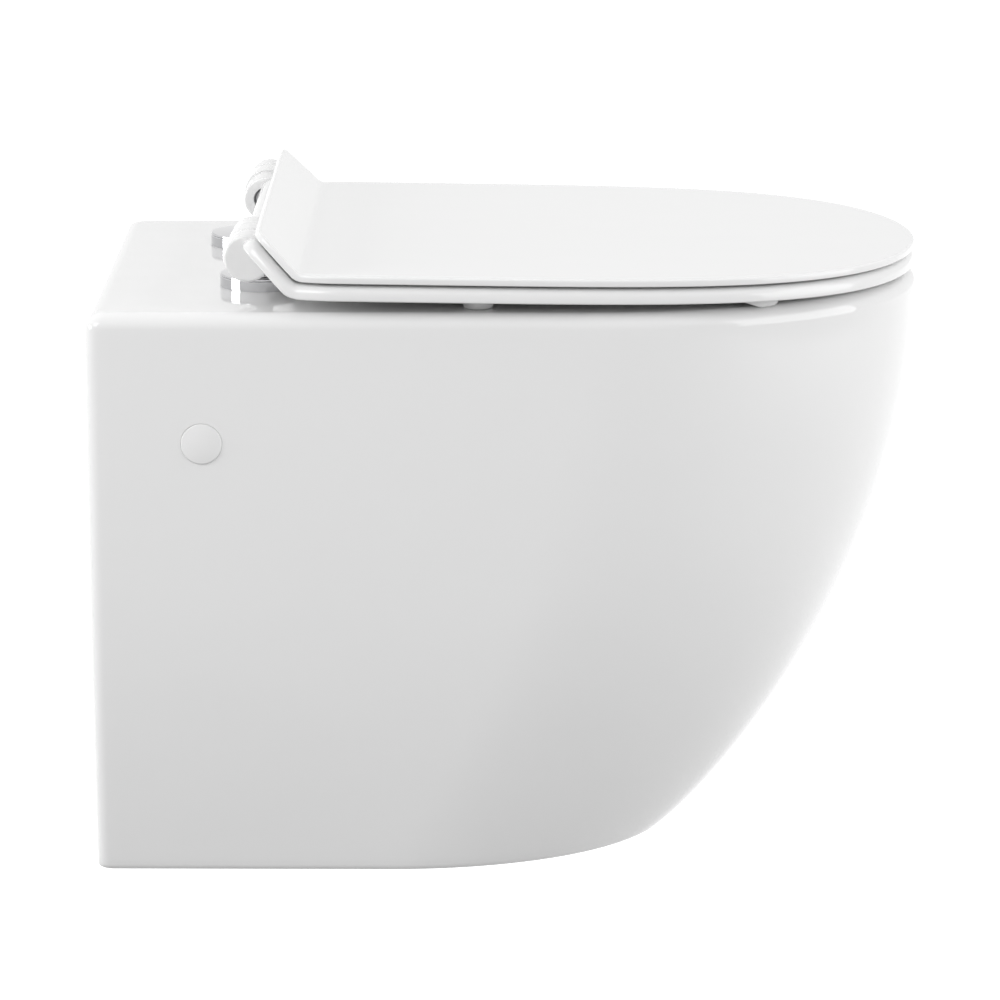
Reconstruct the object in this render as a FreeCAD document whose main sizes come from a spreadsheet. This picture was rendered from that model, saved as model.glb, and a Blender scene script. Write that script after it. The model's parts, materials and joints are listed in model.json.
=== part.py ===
import FreeCAD, Part

import math
import os
import re
from types import SimpleNamespace

from FreeCAD import Placement, Rotation, Vector

# A wall hung toilet. The origin is on the wall plane, midway between the two wall studs. +Y goes into the
# wall, -Y is the front of the toilet, +Z is up and -X is the left side for someone who faces the toilet.

DRIVING_SIZES = [
    # the ceramic
    ("pan_width", 360, "width over the rim"),
    ("pan_length", 513, "wall to the tip of the rim"),
    ("pan_height", 358.5, "rim to the underside"),
    ("rim_level", 80, "top of the rim above the wall studs"),
    ("side_straight", 306, "length of the straight side at the rim"),
    ("base_width", 280, "width of the underside at the wall"),
    ("base_length", 352.5, "length of the underside"),
    ("base_straight", 183, "length of the straight side at the underside"),
    ("rim_round", 10, "radius of the rim's outer edge"),
    ("base_round", 4, "radius of the underside's edge"),
    ("skirt_wall", 11, "thickness of the skirt"),
    ("deck_wall", 14, "thickness of the deck and the rim"),
    ("bottom_wall", 12, "thickness of the underside"),
    # the bowl
    ("rim_width", 48, "width of the rim beside the bowl"),
    ("rim_front", 45, "width of the rim in front of the bowl"),
    ("bowl_rear", 195, "wall to the back of the bowl's mouth"),
    ("bowl_middle", 305, "wall to the widest place of the bowl"),
    ("bowl_lip", 6, "radius of the mouth's edge"),
    ("bowl_wall", 10, "thickness of the bowl"),
    ("sump_middle", 255, "wall to the middle of the sump"),
    ("sump_depth", 302, "rim to the floor of the sump"),
    ("sump_share", 0.24, "size of the sump over that of the mouth"),
    # the waste and flush ways
    ("trap_radius", 28, "inside radius of the trapway"),
    ("trap_wall", 10, "thickness of the trapway"),
    ("throat_step", 3, "floor of the sump up to the trapway"),
    ("trap_rear", 75, "wall to the end of the trapway's upper bend"),
    ("outlet_drop", 100, "wall studs down to the outlet's axis"),
    ("outlet_radius", 51, "outside radius of the outlet spigot"),
    ("outlet_wall", 8, "thickness of the outlet spigot"),
    ("outlet_length", 55, "length of the outlet spigot"),
    ("port_setback", 5, "wall plane to the mouths of the outlet and the inlet"),
    ("inlet_rise", 35, "wall studs up to the inlet's axis"),
    ("inlet_radius", 27.5, "inside radius of the flush inlet"),
    ("inlet_length", 45, "depth of the flush inlet"),
    ("inlet_wall", 10, "thickness of the flush inlet"),
    ("flush_radius", 20, "radius of the flush opening in the bowl"),
    # the wall fixing
    ("stud_spacing", 180, "distance between the wall studs"),
    ("stud_hole", 6.5, "radius of the stud holes"),
    ("bracket_thick", 6, "thickness of the bracket's wall plate"),
    ("bracket_height", 50, "height of the bracket"),
    ("bracket_inner", 22, "stud to the inner edge of the bracket"),
    ("arm_thick", 10, "thickness of the bracket's arm"),
    ("arm_tip", 16, "side screw to the tip of the bracket's arm"),
    ("side_screw_reach", 70, "wall to the side screw"),
    ("boss_radius", 20, "radius of the ceramic boss round the side screw"),
    ("boss_depth", 6, "height of that boss inside the skirt"),
    ("cap_radius", 13, "radius of the side cap"),
    ("cap_thick", 3, "thickness of the side cap"),
    ("cap_recess", 1, "depth of the cap's seat in the skirt"),
    ("access_radius", 11, "radius of the access hole behind the cap"),
    ("access_depth", 8, "depth of the access hole"),
    ("cap_skirt_wall", 1.2, "thickness of the cap's spigot"),
    ("cap_skirt_length", 3, "length of the cap's spigot"),
    ("side_screw_radius", 4, "radius of the side screw"),
    ("side_screw_length", 26, "length of the side screw under its head"),
    ("side_head_radius", 7.5, "radius of the side screw's head"),
    ("side_head_height", 4.5, "height of the side screw's head"),
    ("side_washer_thick", 1.5, "thickness of the side screw's washer"),
    ("side_screw_play", 2, "gap round the side screw in the ceramic"),
    ("side_socket_radius", 3.4, "radius over the corners of the side screw's hexagon socket"),
    ("side_socket_depth", 3, "depth of that socket"),
    # the seat hinge
    ("seat_hole_spacing", 155, "distance between the seat's bolt holes"),
    ("seat_hole_reach", 95.85, "wall to the seat's bolt holes"),
    ("seat_hole_radius", 7.5, "radius of the seat's bolt holes"),
    ("base_offset", 7.15, "shift of each hinge base from its bolt, the left forward and the right back"),
    ("cover_radius", 26.3, "radius of the chromed cover"),
    ("cover_height", 8.4, "height of the chromed cover"),
    ("cover_wall", 1.2, "thickness of the chromed cover"),
    ("base_thick", 4, "thickness of the hinge base"),
    ("bolt_radius", 4, "radius of the hinge bolt"),
    ("bolt_length", 46, "length of the hinge bolt"),
    ("plug_flange", 12, "radius of the plug's flange under the deck"),
    ("plug_flange_thick", 3, "thickness of the plug's flange"),
    ("nut_radius", 15, "radius of the hinge nut"),
    ("nut_height", 14, "height of the hinge nut"),
    ("nut_flange_thick", 3.5, "thickness of the hinge nut's flange"),
    ("nut_grip_radius", 12, "radius over the corners of the hinge nut's hexagon"),
    ("hinge_reach", 97.6, "wall to the hinge axis"),
    ("hinge_rise", 29.6, "rim to the hinge axis"),
    ("post_offset", 12, "seat's bolt hole out to the hinge post"),
    ("post_lead", 5.5, "hinge axis forward to the hinge post"),
    ("post_radius", 4, "radius of the hinge post"),
    ("post_length", 20, "height of the hinge post above the rim"),
    ("neck_radius", 7, "radius of the hinge body's neck"),
    ("barrel_radius", 12.8, "radius of the hinge body's barrel"),
    ("barrel_inset", 14.5, "hinge post in to the barrel's inner end"),
    ("barrel_length", 29, "length of the barrel"),
    ("damper_radius", 7.5, "radius of the damper"),
    ("damper_length", 24, "length of the damper"),
    ("damper_setback", 2, "barrel's outer end to the damper's"),
    ("centre_radius", 1.3, "radius of the turning centre in the damper's end"),
    ("centre_depth", 1, "depth of that centre"),
    ("shaft_radius", 4, "radius of the damper's shaft"),
    ("shaft_grip", 8, "length of the shaft inside the damper"),
    ("bush_radius", 6, "outside radius of the knuckle bush"),
    ("knuckle_radius", 14.6, "radius of the knuckles"),
    ("lid_knuckle_length", 25, "length of the lid's knuckle"),
    ("seat_knuckle_length", 24, "length of the seat's knuckle"),
    ("knuckle_end", 4, "thickness of the seat knuckle's closed end"),
    ("knuckle_round", 3, "radius of the seat knuckle's outer edge"),
    ("web_width", 12.2, "width of the web from the lid's knuckle to its flange"),
    # the seat and the lid
    ("leaf_width", 371.4, "width of the seat and of the lid"),
    ("leaf_length", 511, "wall to the tip of the seat and of the lid"),
    ("leaf_widest", 150, "wall to the widest place of the seat and of the lid"),
    ("leaf_tilt", 0.75, "slope of the closed seat and lid, down to the front, in degrees"),
    ("flange_width", 330, "width of the turned-up flange's edge"),
    ("flange_offset", 19.6, "hinge axis to the flange's outer face"),
    ("flange_rise", 8.6, "length of the lid's flange past the hinge axis"),
    ("seat_flange_rise", 6, "length of the seat's flange past the hinge axis"),
    ("crease_drop", 4.75, "hinge axis down to the lid's top face"),
    ("crease_round", 6, "inside radius of the crease"),
    ("lid_thick", 4.5, "thickness of the lid"),
    ("leaf_gap", 1.8, "gap between the seat and the lid"),
    ("seat_thick", 9, "thickness of the seat"),
    ("ring_side", 74, "width of the seat beside its opening"),
    ("ring_front", 64, "width of the seat in front of its opening"),
    ("ring_rear", 205, "wall to the back of the seat's opening"),
    ("bumper_radius", 9.3, "radius of the seat's bumpers at the seat"),
    ("bumper_foot", 6.9, "radius of the seat's bumpers at the rim"),
    ("bumper_rear", 240, "wall to the seat's rear bumpers"),
    ("bumper_front", 407, "wall to the seat's front bumpers and to the lid's"),
    ("bumper_inset", 15, "rim's outer edge in to the middle of the seat's front bumpers"),
    ("lid_bumper_radius", 6, "radius of the lid's bumpers"),
    # clearances
    ("joint_gap", 0.4, "gap between pieces that move past each other"),
    ("running_fit", 0.05, "gap round a turning shaft"),
    ("notch_gap", 0.6, "gap round the barrels in the seat's flange"),
    ("rest_gap", 0.05, "gap under a bumper"),
]

doc = FreeCAD.newDocument("wall_hung_toilet")
sheet = doc.addObject("Spreadsheet::Sheet", "Sizes")
for row, (alias, number, words) in enumerate(DRIVING_SIZES, 1):
    sheet.set(f"A{row}", words)
    sheet.set(f"B{row}", str(number))
    sheet.setAlias(f"B{row}", alias)
doc.recompute()

S = SimpleNamespace(**{alias: float(sheet.get(alias)) for alias, _, _ in DRIVING_SIZES})
ALIAS = re.compile(r"\b(" + "|".join(alias for alias, _, _ in DRIVING_SIZES) + r")\b")
SIDES = {"left": -1, "right": 1}
FAR = 1000  # longer than anything on the toilet, for cutting tools
PAST = 1  # how far a cutting tool runs past a face
subparts = {}


# ---- helpers: primitives whose sizes and places are expressions of the driving sizes ----

TURNS = {
    "x": Rotation(Vector(0, 1, 0), 90),
    "x_over": Rotation(Vector(0, 1, 0), 90).multiply(Rotation(Vector(0, 0, 1), 180)),
    "-x": Rotation(Vector(0, 1, 0), -90),
    "y": Rotation(Vector(1, 0, 0), -90),
    "z": Rotation(),
}


def bind(item, sizes):
    """Set properties of an object to expressions, in which each driving size goes by its own name."""
    for prop, text in sizes.items():
        item.setExpression(prop, ALIAS.sub(r"Sizes.\1", str(text)))
    return item


def put(item, place, turn="z"):
    """Turn an object and bind its base point, three expressions."""
    item.Placement = Placement(Vector(), TURNS[turn])
    return bind(item, {f"Placement.Base.{letter}": text for letter, text in zip("xyz", place)})


def rod(name, radius, length, place, turn="z"):
    """A cylinder that starts at place and runs the way that turn says."""
    item = doc.addObject("Part::Cylinder", name)
    bind(item, {"Radius": radius, "Height": length})
    return put(item, place, turn)


def cone(name, radius, end_radius, length, place, turn="z"):
    """A cone frustum that starts at place with radius."""
    item = doc.addObject("Part::Cone", name)
    bind(item, {"Radius1": radius, "Radius2": end_radius, "Height": length})
    return put(item, place, turn)


def ring(name, radius, bar, place, turn="z", sweep=360):
    """A torus about the axis that turn gives, whole or as far as sweep goes, in degrees."""
    item = doc.addObject("Part::Torus", name)
    bind(item, {"Radius1": radius, "Radius2": bar, "Angle3": sweep})
    return put(item, place, turn)


def block(name, sizes, place):
    """A box with its low corner at place."""
    item = doc.addObject("Part::Box", name)
    bind(item, dict(zip(("Length", "Width", "Height"), sizes)))
    return put(item, place)


def fuse(name, *items):
    item = doc.addObject("Part::MultiFuse", name)
    item.Shapes = list(items)
    return item


def cut(name, base, *tools):
    item = doc.addObject("Part::Cut", name)
    item.Base = base
    item.Tool = tools[0] if len(tools) == 1 else fuse(name + "_tools", *tools)
    return item


def common(name, *items):
    item = doc.addObject("Part::MultiCommon", name)
    item.Shapes = list(items)
    return item


def free_form(name, shape):
    """A form that no primitive has, worked out from the driving sizes."""
    item = doc.addObject("Part::Feature", name)
    item.Shape = shape
    return item


def rounded_rod(name, radius, length, edge, place, turn="z"):
    """A cylinder whose far end has a rounded edge."""
    heading = {"x": (1, 0, 0), "-x": (-1, 0, 0), "y": (0, 1, 0), "z": (0, 0, 1)}[turn]
    bend = [f"{at} + {way} * ({length} - ({edge}))" for at, way in zip(place, heading)]
    return fuse(
        name,
        rod(name + "_wall", radius, f"{length} - ({edge})", place, turn),
        rod(name + "_core", f"{radius} - ({edge})", length, place, turn),
        ring(name + "_edge", f"{radius} - ({edge})", edge, bend, turn),
    )


def keep(node, item):
    """Name the object of a finished sub-part."""
    item.Label = node
    subparts[node] = item
    return item


# ---- the ceramic: skirt, deck and rim ----

BOTTOM_LEVEL = S.rim_level - S.pan_height
DECK_UNDERSIDE = S.rim_level - S.deck_wall
FRONT_POWER = 2.0  # how late the front of the skirt draws in on its way down
FRONT_CLOSE = 0.875  # how fast it closes at the underside
STRAIGHT_POWER = 1.6  # how late the straight side shortens
SIDE_STEPS = 6  # points on a straight side
ARC_STEPS = 16  # points round the front
SIDE_STRETCH = 1.8  # how long a step on the straight side is, over one on the arc
EDGE_STEPS = 6  # outlines over a rounded edge
LEVEL_SHARES = (0, 0.12, 0.25, 0.4, 0.55, 0.7, 0.84, 0.94, 1)  # the heights of the skirt's outlines
D_STEPS = [SIDE_STRETCH] * SIDE_STEPS + [1.0] * ARC_STEPS + [SIDE_STRETCH] * SIDE_STEPS
D_PARAMETERS = [sum(D_STEPS[:count]) for count in range(len(D_STEPS) + 1)]


def half_width(level):
    """Half the pan's width: full at the rim, and drawn in with the square of the depth."""
    share = (S.rim_level - level) / S.pan_height
    return S.pan_width / 2 - (S.pan_width - S.base_width) / 2 * share ** 2


def front_reach(level):
    """Wall to the front of the skirt at a level."""
    share = min(1.0, (S.rim_level - level) / S.pan_height)
    return S.base_length + (S.pan_length - S.base_length) * (1 - share ** FRONT_POWER) ** FRONT_CLOSE


def straight_reach(level):
    """Wall to the place where the skirt's side starts to curve."""
    share = min(1.0, (S.rim_level - level) / S.pan_height)
    return S.side_straight + (S.base_straight - S.side_straight) * share ** STRAIGHT_POWER


def d_outline(half, start, tip, level):
    """A straight back behind the wall plane, and one smooth curve down the right side, round a half ellipse and
    up the left side."""
    back = S.skirt_wall
    points = []
    for step in range(SIDE_STEPS):
        points.append(Vector(half, back - (back + start) * step / SIDE_STEPS, level))
    for step in range(ARC_STEPS + 1):
        angle = math.pi * step / ARC_STEPS
        points.append(Vector(half * math.cos(angle), -start - (tip - start) * math.sin(angle), level))
    for step in range(1, SIDE_STEPS + 1):
        points.append(Vector(-half, -start + (back + start) * step / SIDE_STEPS, level))
    curve = Part.BSplineCurve()
    curve.interpolate(points, InitialTangent=Vector(0, -1, 0), FinalTangent=Vector(0, 1, 0),
                      Parameters=D_PARAMETERS)
    return Part.Wire([curve.toShape(), Part.makeLine(points[-1], points[0])])


def rounded_edge(level, radius, way):
    """A slab on the skirt's outline at a level, drawn in along a quarter circle as it goes up or down."""
    wires = []
    for step in range(EDGE_STEPS + 1):
        angle = math.pi / 2 * step / EDGE_STEPS
        inset = radius * (1 - math.cos(angle))
        wires.append(d_outline(half_width(level) - inset, straight_reach(level), front_reach(level) - inset,
                               level + way * radius * math.sin(angle)))
    return Part.makeLoft(wires, True, False)


def skirt_solid():
    top, bottom = S.rim_level - S.rim_round, BOTTOM_LEVEL + S.base_round
    levels = [top + (bottom - top) * share for share in LEVEL_SHARES]
    wires = [d_outline(half_width(z), straight_reach(z), front_reach(z), z) for z in levels]
    body = Part.makeLoft(wires, True, False)
    return body.fuse([rounded_edge(top, S.rim_round, 1), rounded_edge(bottom, S.base_round, -1)])


def hollow_solid():
    """The space inside the skirt, which runs out behind the wall plane."""
    low = BOTTOM_LEVEL + S.bottom_wall
    wires = []
    for share in LEVEL_SHARES:
        level = DECK_UNDERSIDE + (low - DECK_UNDERSIDE) * share
        tip = front_reach(level - S.bottom_wall) - S.skirt_wall
        start = min(straight_reach(level), tip - S.skirt_wall)
        wires.append(d_outline(half_width(level) - S.skirt_wall, start, tip, level))
    return Part.makeLoft(wires, True, False)


def oval(half, middle, front, rear, level):
    """Two half ellipses with the same width, one to the front and one to the back."""
    points = []
    for step in range(2 * ARC_STEPS):
        angle = math.pi * step / ARC_STEPS
        reach = front if math.sin(angle) > 0 else rear
        points.append(Vector(half * math.cos(angle), -middle - reach * math.sin(angle), level))
    curve = Part.BSplineCurve()
    curve.interpolate(points, PeriodicFlag=True)
    return Part.Wire([curve.toShape()])


MOUTH_HALF = S.pan_width / 2 - S.rim_width
MOUTH_FRONT = S.pan_length - S.rim_front - S.bowl_middle
MOUTH_REAR = S.bowl_middle - S.bowl_rear
SUMP_LEVEL = S.rim_level - S.sump_depth
BOWL_POWER = 1.5  # how the bowl narrows with its depth
BOWL_SHARES = (0, 0.15, 0.3, 0.45, 0.6, 0.75, 0.88, 1)


def bowl_solid(wall):
    """The bowl from the deck's underside to the sump's floor, grown by wall."""
    wires = []
    for share in BOWL_SHARES:
        level = DECK_UNDERSIDE + (SUMP_LEVEL - wall - DECK_UNDERSIDE) * share
        size = S.sump_share + (1 - S.sump_share) * (1 - share ** BOWL_POWER)
        middle = S.bowl_middle + (S.sump_middle - S.bowl_middle) * share
        reaches = (MOUTH_FRONT * size + wall, MOUTH_REAR * size + wall)
        wires.append(oval(MOUTH_HALF * size + wall, middle, *reaches, level))
    return Part.makeLoft(wires, True, False)


def mouth_solid():
    """The bowl's mouth through the deck, with a rounded lip."""
    wires = []
    lip_steps = 6
    low = S.rim_level - S.bowl_lip
    levels = [(DECK_UNDERSIDE, 0.0), (low, 0.0)]
    for step in range(1, lip_steps + 1):
        angle = math.pi / 2 * step / lip_steps
        levels.append((low + S.bowl_lip * math.sin(angle), S.bowl_lip * (1 - math.cos(angle))))
    for level, grow in levels:
        wires.append(oval(MOUTH_HALF + grow, S.bowl_middle, MOUTH_FRONT + grow, MOUTH_REAR + grow, level))
    return Part.makeLoft(wires, True, True)


behind_wall = block("behind_wall", (FAR, FAR, FAR), (-FAR / 2, 0, -FAR / 2))
skirt = cut("skirt", free_form("skirt_form", skirt_solid()), behind_wall)
hollow = free_form("hollow", hollow_solid())
mouth = free_form("mouth", mouth_solid())
bowl_outside = free_form("bowl_outside", bowl_solid(S.bowl_wall))
bowl_inside = free_form("bowl_inside", bowl_solid(0.0))

# Half the pan's width at the level of the studs and side screws, as half_width gives it.
FIX_HALF = "(pan_width / 2 - (pan_width - base_width) / 2 * (rim_level / pan_height) ^ 2)"
CAP_SEAT = f"({FIX_HALF} - cap_recess)"
SHOULDER = f"({FIX_HALF} - access_depth)"
BOSS_END = f"({FIX_HALF} - skirt_wall - boss_depth)"


def along(side, distance):
    """An expression for a distance from the middle, on one side."""
    return f"{side} * ({distance})"


bosses, pan_holes = [], []
for name, side in SIDES.items():
    outward = "x" if side > 0 else "-x"
    bosses.append(rod(
        f"boss_{name}", "boss_radius", "skirt_wall + boss_depth",
        (along(side, BOSS_END), "-side_screw_reach", 0), outward,
    ))
    for label, radius, start in (
        ("cap_seat", "cap_radius + running_fit", CAP_SEAT),
        ("access_hole", "access_radius", SHOULDER),
        ("screw_hole", "side_screw_radius + side_screw_play", f"{BOSS_END} - {PAST}"),
    ):
        pan_holes.append(rod(
            f"{label}_{name}", radius, f"{FIX_HALF} + cap_radius - ({start})",
            (along(side, start), "-side_screw_reach", 0), outward,
        ))
    pan_holes.append(rod(
        f"seat_hole_{name}", "seat_hole_radius", f"deck_wall + 2 * {PAST}",
        (along(side, "seat_hole_spacing / 2"), "-seat_hole_reach", f"rim_level - deck_wall - {PAST}"),
    ))

shell = cut("shell", skirt, hollow)
shell_with_bosses = fuse("shell_with_bosses", shell, common("bosses_inside", skirt, fuse("bosses", *bosses)))
keep("ceramic_pan", cut("pan", shell_with_bosses, mouth, *pan_holes))

# ---- the ceramic: bowl, trapway and flush inlet, fired in one with the pan ----

SUMP_PIPE = "(rim_level - sump_depth + throat_step + trap_radius)"
TRAP_BEND = f"((-outlet_drop - {SUMP_PIPE}) / 2)"
OUTLET_START = "(port_setback + outlet_length)"


def trapway_run(label, radius):
    """The trapway's path as a solid: in level, up an S of two equal bends, and out level."""
    return fuse(
        label,
        rod(f"{label}_entry", radius, f"sump_middle - trap_rear - 2 * {TRAP_BEND}",
            (0, "-sump_middle", SUMP_PIPE), "y"),
        ring(f"{label}_lower_bend", TRAP_BEND, radius,
             (0, f"-trap_rear - 2 * {TRAP_BEND}", f"{SUMP_PIPE} + {TRAP_BEND}"), "x", 90),
        ring(f"{label}_upper_bend", TRAP_BEND, radius,
             (0, "-trap_rear", f"-outlet_drop - {TRAP_BEND}"), "x_over", 90),
        rod(f"{label}_exit", radius, f"trap_rear - {OUTLET_START} + {PAST}",
            (0, "-trap_rear", "-outlet_drop"), "y"),
    )


trap_outside = trapway_run("trap_outside", "trap_radius + trap_wall")
trap_inside = trapway_run("trap_inside", "trap_radius")
CONE_LENGTH = f"(trap_rear - {OUTLET_START})"
spigot_outside = fuse(
    "spigot_outside",
    rod("spigot_wall", "outlet_radius", "outlet_length", (0, f"-{OUTLET_START}", "-outlet_drop"), "y"),
    cone("spigot_neck", "trap_radius + trap_wall", "outlet_radius", CONE_LENGTH,
         (0, "-trap_rear", "-outlet_drop"), "y"),
)
spigot_inside = fuse(
    "spigot_inside",
    rod("spigot_bore", "outlet_radius - outlet_wall", f"outlet_length + {PAST}",
        (0, f"-{OUTLET_START}", "-outlet_drop"), "y"),
    cone("spigot_funnel", "trap_radius", "outlet_radius - outlet_wall", CONE_LENGTH,
         (0, "-trap_rear", "-outlet_drop"), "y"),
)
keep("trapway", cut("trapway_pipe", fuse("trapway_solid", trap_outside, spigot_outside),
                    trap_inside, spigot_inside, bowl_outside))

flush_bore = rod("flush_bore", "flush_radius", "bowl_middle", (0, "-bowl_middle", "inlet_rise"), "y")
throat = rod("throat", "trap_radius", "sump_middle - trap_rear", (0, "-sump_middle", SUMP_PIPE), "y")
keep("bowl", cut("bowl_basin", bowl_outside, bowl_inside, flush_bore, throat))

horn = rod("horn", "inlet_radius + inlet_wall", "bowl_middle - port_setback",
           (0, "-bowl_middle", "inlet_rise"), "y")
inlet_bore = rod("inlet_bore", "inlet_radius", f"inlet_length + {PAST}",
                 (0, "-port_setback - inlet_length", "inlet_rise"), "y")
above_hollow = block("above_hollow", (FAR, FAR, FAR), (-FAR / 2, -FAR / 2, "rim_level - deck_wall"))
keep("flush_inlet", cut("inlet_pipe", horn, inlet_bore, flush_bore, above_hollow, bowl_outside))

# ---- the wall fixing, one set on each side ----

STUD = "stud_spacing / 2"
ARM_FACE = f"({BOSS_END} - joint_gap)"

for name, side in SIDES.items():
    outward = "x" if side > 0 else "-x"
    plate_edges = (f"{STUD} - bracket_inner", ARM_FACE)
    low_edge = along(side, plate_edges[0]) if side > 0 else along(side, plate_edges[1])
    plate = block(
        f"bracket_plate_{name}",
        (f"{plate_edges[1]} - ({plate_edges[0]})", "bracket_thick", "bracket_height"),
        (low_edge, "-bracket_thick", "-bracket_height / 2"),
    )
    arm_low = along(side, f"{ARM_FACE} - arm_thick") if side > 0 else along(side, ARM_FACE)
    arm = block(
        f"bracket_arm_{name}",
        ("arm_thick", "side_screw_reach + arm_tip", "bracket_height"),
        (arm_low, "-side_screw_reach - arm_tip", "-bracket_height / 2"),
    )
    stud_hole = rod(f"stud_hole_{name}", "stud_hole", f"bracket_thick + 2 * {PAST}",
                    (along(side, STUD), f"-bracket_thick - {PAST}", 0), "y")
    tapping = rod(f"tapped_hole_{name}", "side_screw_radius + running_fit", f"arm_thick + 2 * {PAST}",
                  (along(side, f"{ARM_FACE} - arm_thick - {PAST}"), "-side_screw_reach", 0), outward)
    blank = fuse(f"bracket_blank_{name}", plate, arm)
    keep(f"wall_bracket_{name}", cut(f"bracket_{name}", blank, stud_hole, tapping))

    washer_ring = rod(f"washer_disc_{name}", "access_radius - joint_gap", "side_washer_thick",
                      (along(side, SHOULDER), "-side_screw_reach", 0), outward)
    washer_hole = rod(f"washer_hole_{name}", "side_screw_radius + running_fit",
                      f"side_washer_thick + 2 * {PAST}",
                      (along(side, f"{SHOULDER} - {PAST}"), "-side_screw_reach", 0), outward)
    keep(f"side_washer_{name}", cut(f"washer_{name}", washer_ring, washer_hole))

    head_seat = f"({SHOULDER} + side_washer_thick)"
    shank = rod(f"side_shank_{name}", "side_screw_radius", "side_screw_length",
                (along(side, f"{head_seat} - side_screw_length"), "-side_screw_reach", 0), outward)
    head = rod(f"side_head_{name}", "side_head_radius", "side_head_height",
               (along(side, head_seat), "-side_screw_reach", 0), outward)
    socket = doc.addObject("Part::Prism", f"side_socket_{name}")
    socket.Polygon = 6
    bind(socket, {"Circumradius": "side_socket_radius", "Height": "side_head_height"})
    socket_floor = f"{head_seat} + side_head_height - side_socket_depth"
    put(socket, (along(side, socket_floor), "-side_screw_reach", 0), outward)
    keep(f"side_screw_{name}", cut(f"side_bolt_{name}", fuse(f"side_bolt_blank_{name}", shank, head), socket))

    disc = rounded_rod(f"cap_disc_{name}", "cap_radius", "cap_thick", "cap_thick / 2",
                       (along(side, CAP_SEAT), "-side_screw_reach", 0), outward)
    spigot = rod(f"cap_spigot_{name}", "access_radius - running_fit", "cap_skirt_length + cap_thick / 2",
                 (along(side, f"{CAP_SEAT} - cap_skirt_length"), "-side_screw_reach", 0), outward)
    spigot_hollow = rod(f"cap_hollow_{name}", "access_radius - running_fit - cap_skirt_wall",
                        "cap_skirt_length",
                        (along(side, f"{CAP_SEAT} - cap_skirt_length"), "-side_screw_reach", 0), outward)
    keep(f"side_cap_{name}", cut(f"cap_{name}", fuse(f"cap_blank_{name}", disc, spigot), spigot_hollow))

# ---- the seat hinges: what stands still, one set on each side ----

HINGE_LEVEL = "(rim_level + hinge_rise)"
POST_X = "(seat_hole_spacing / 2 + post_offset)"
BARREL_START = f"({POST_X} - barrel_inset)"
BARREL_END = f"({BARREL_START} + barrel_length)"
DAMPER_END = f"({BARREL_END} - damper_setback)"
POST_Y = "-hinge_reach - post_lead"
COVER_CEILING = "(rim_level + cover_height - cover_wall)"

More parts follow.
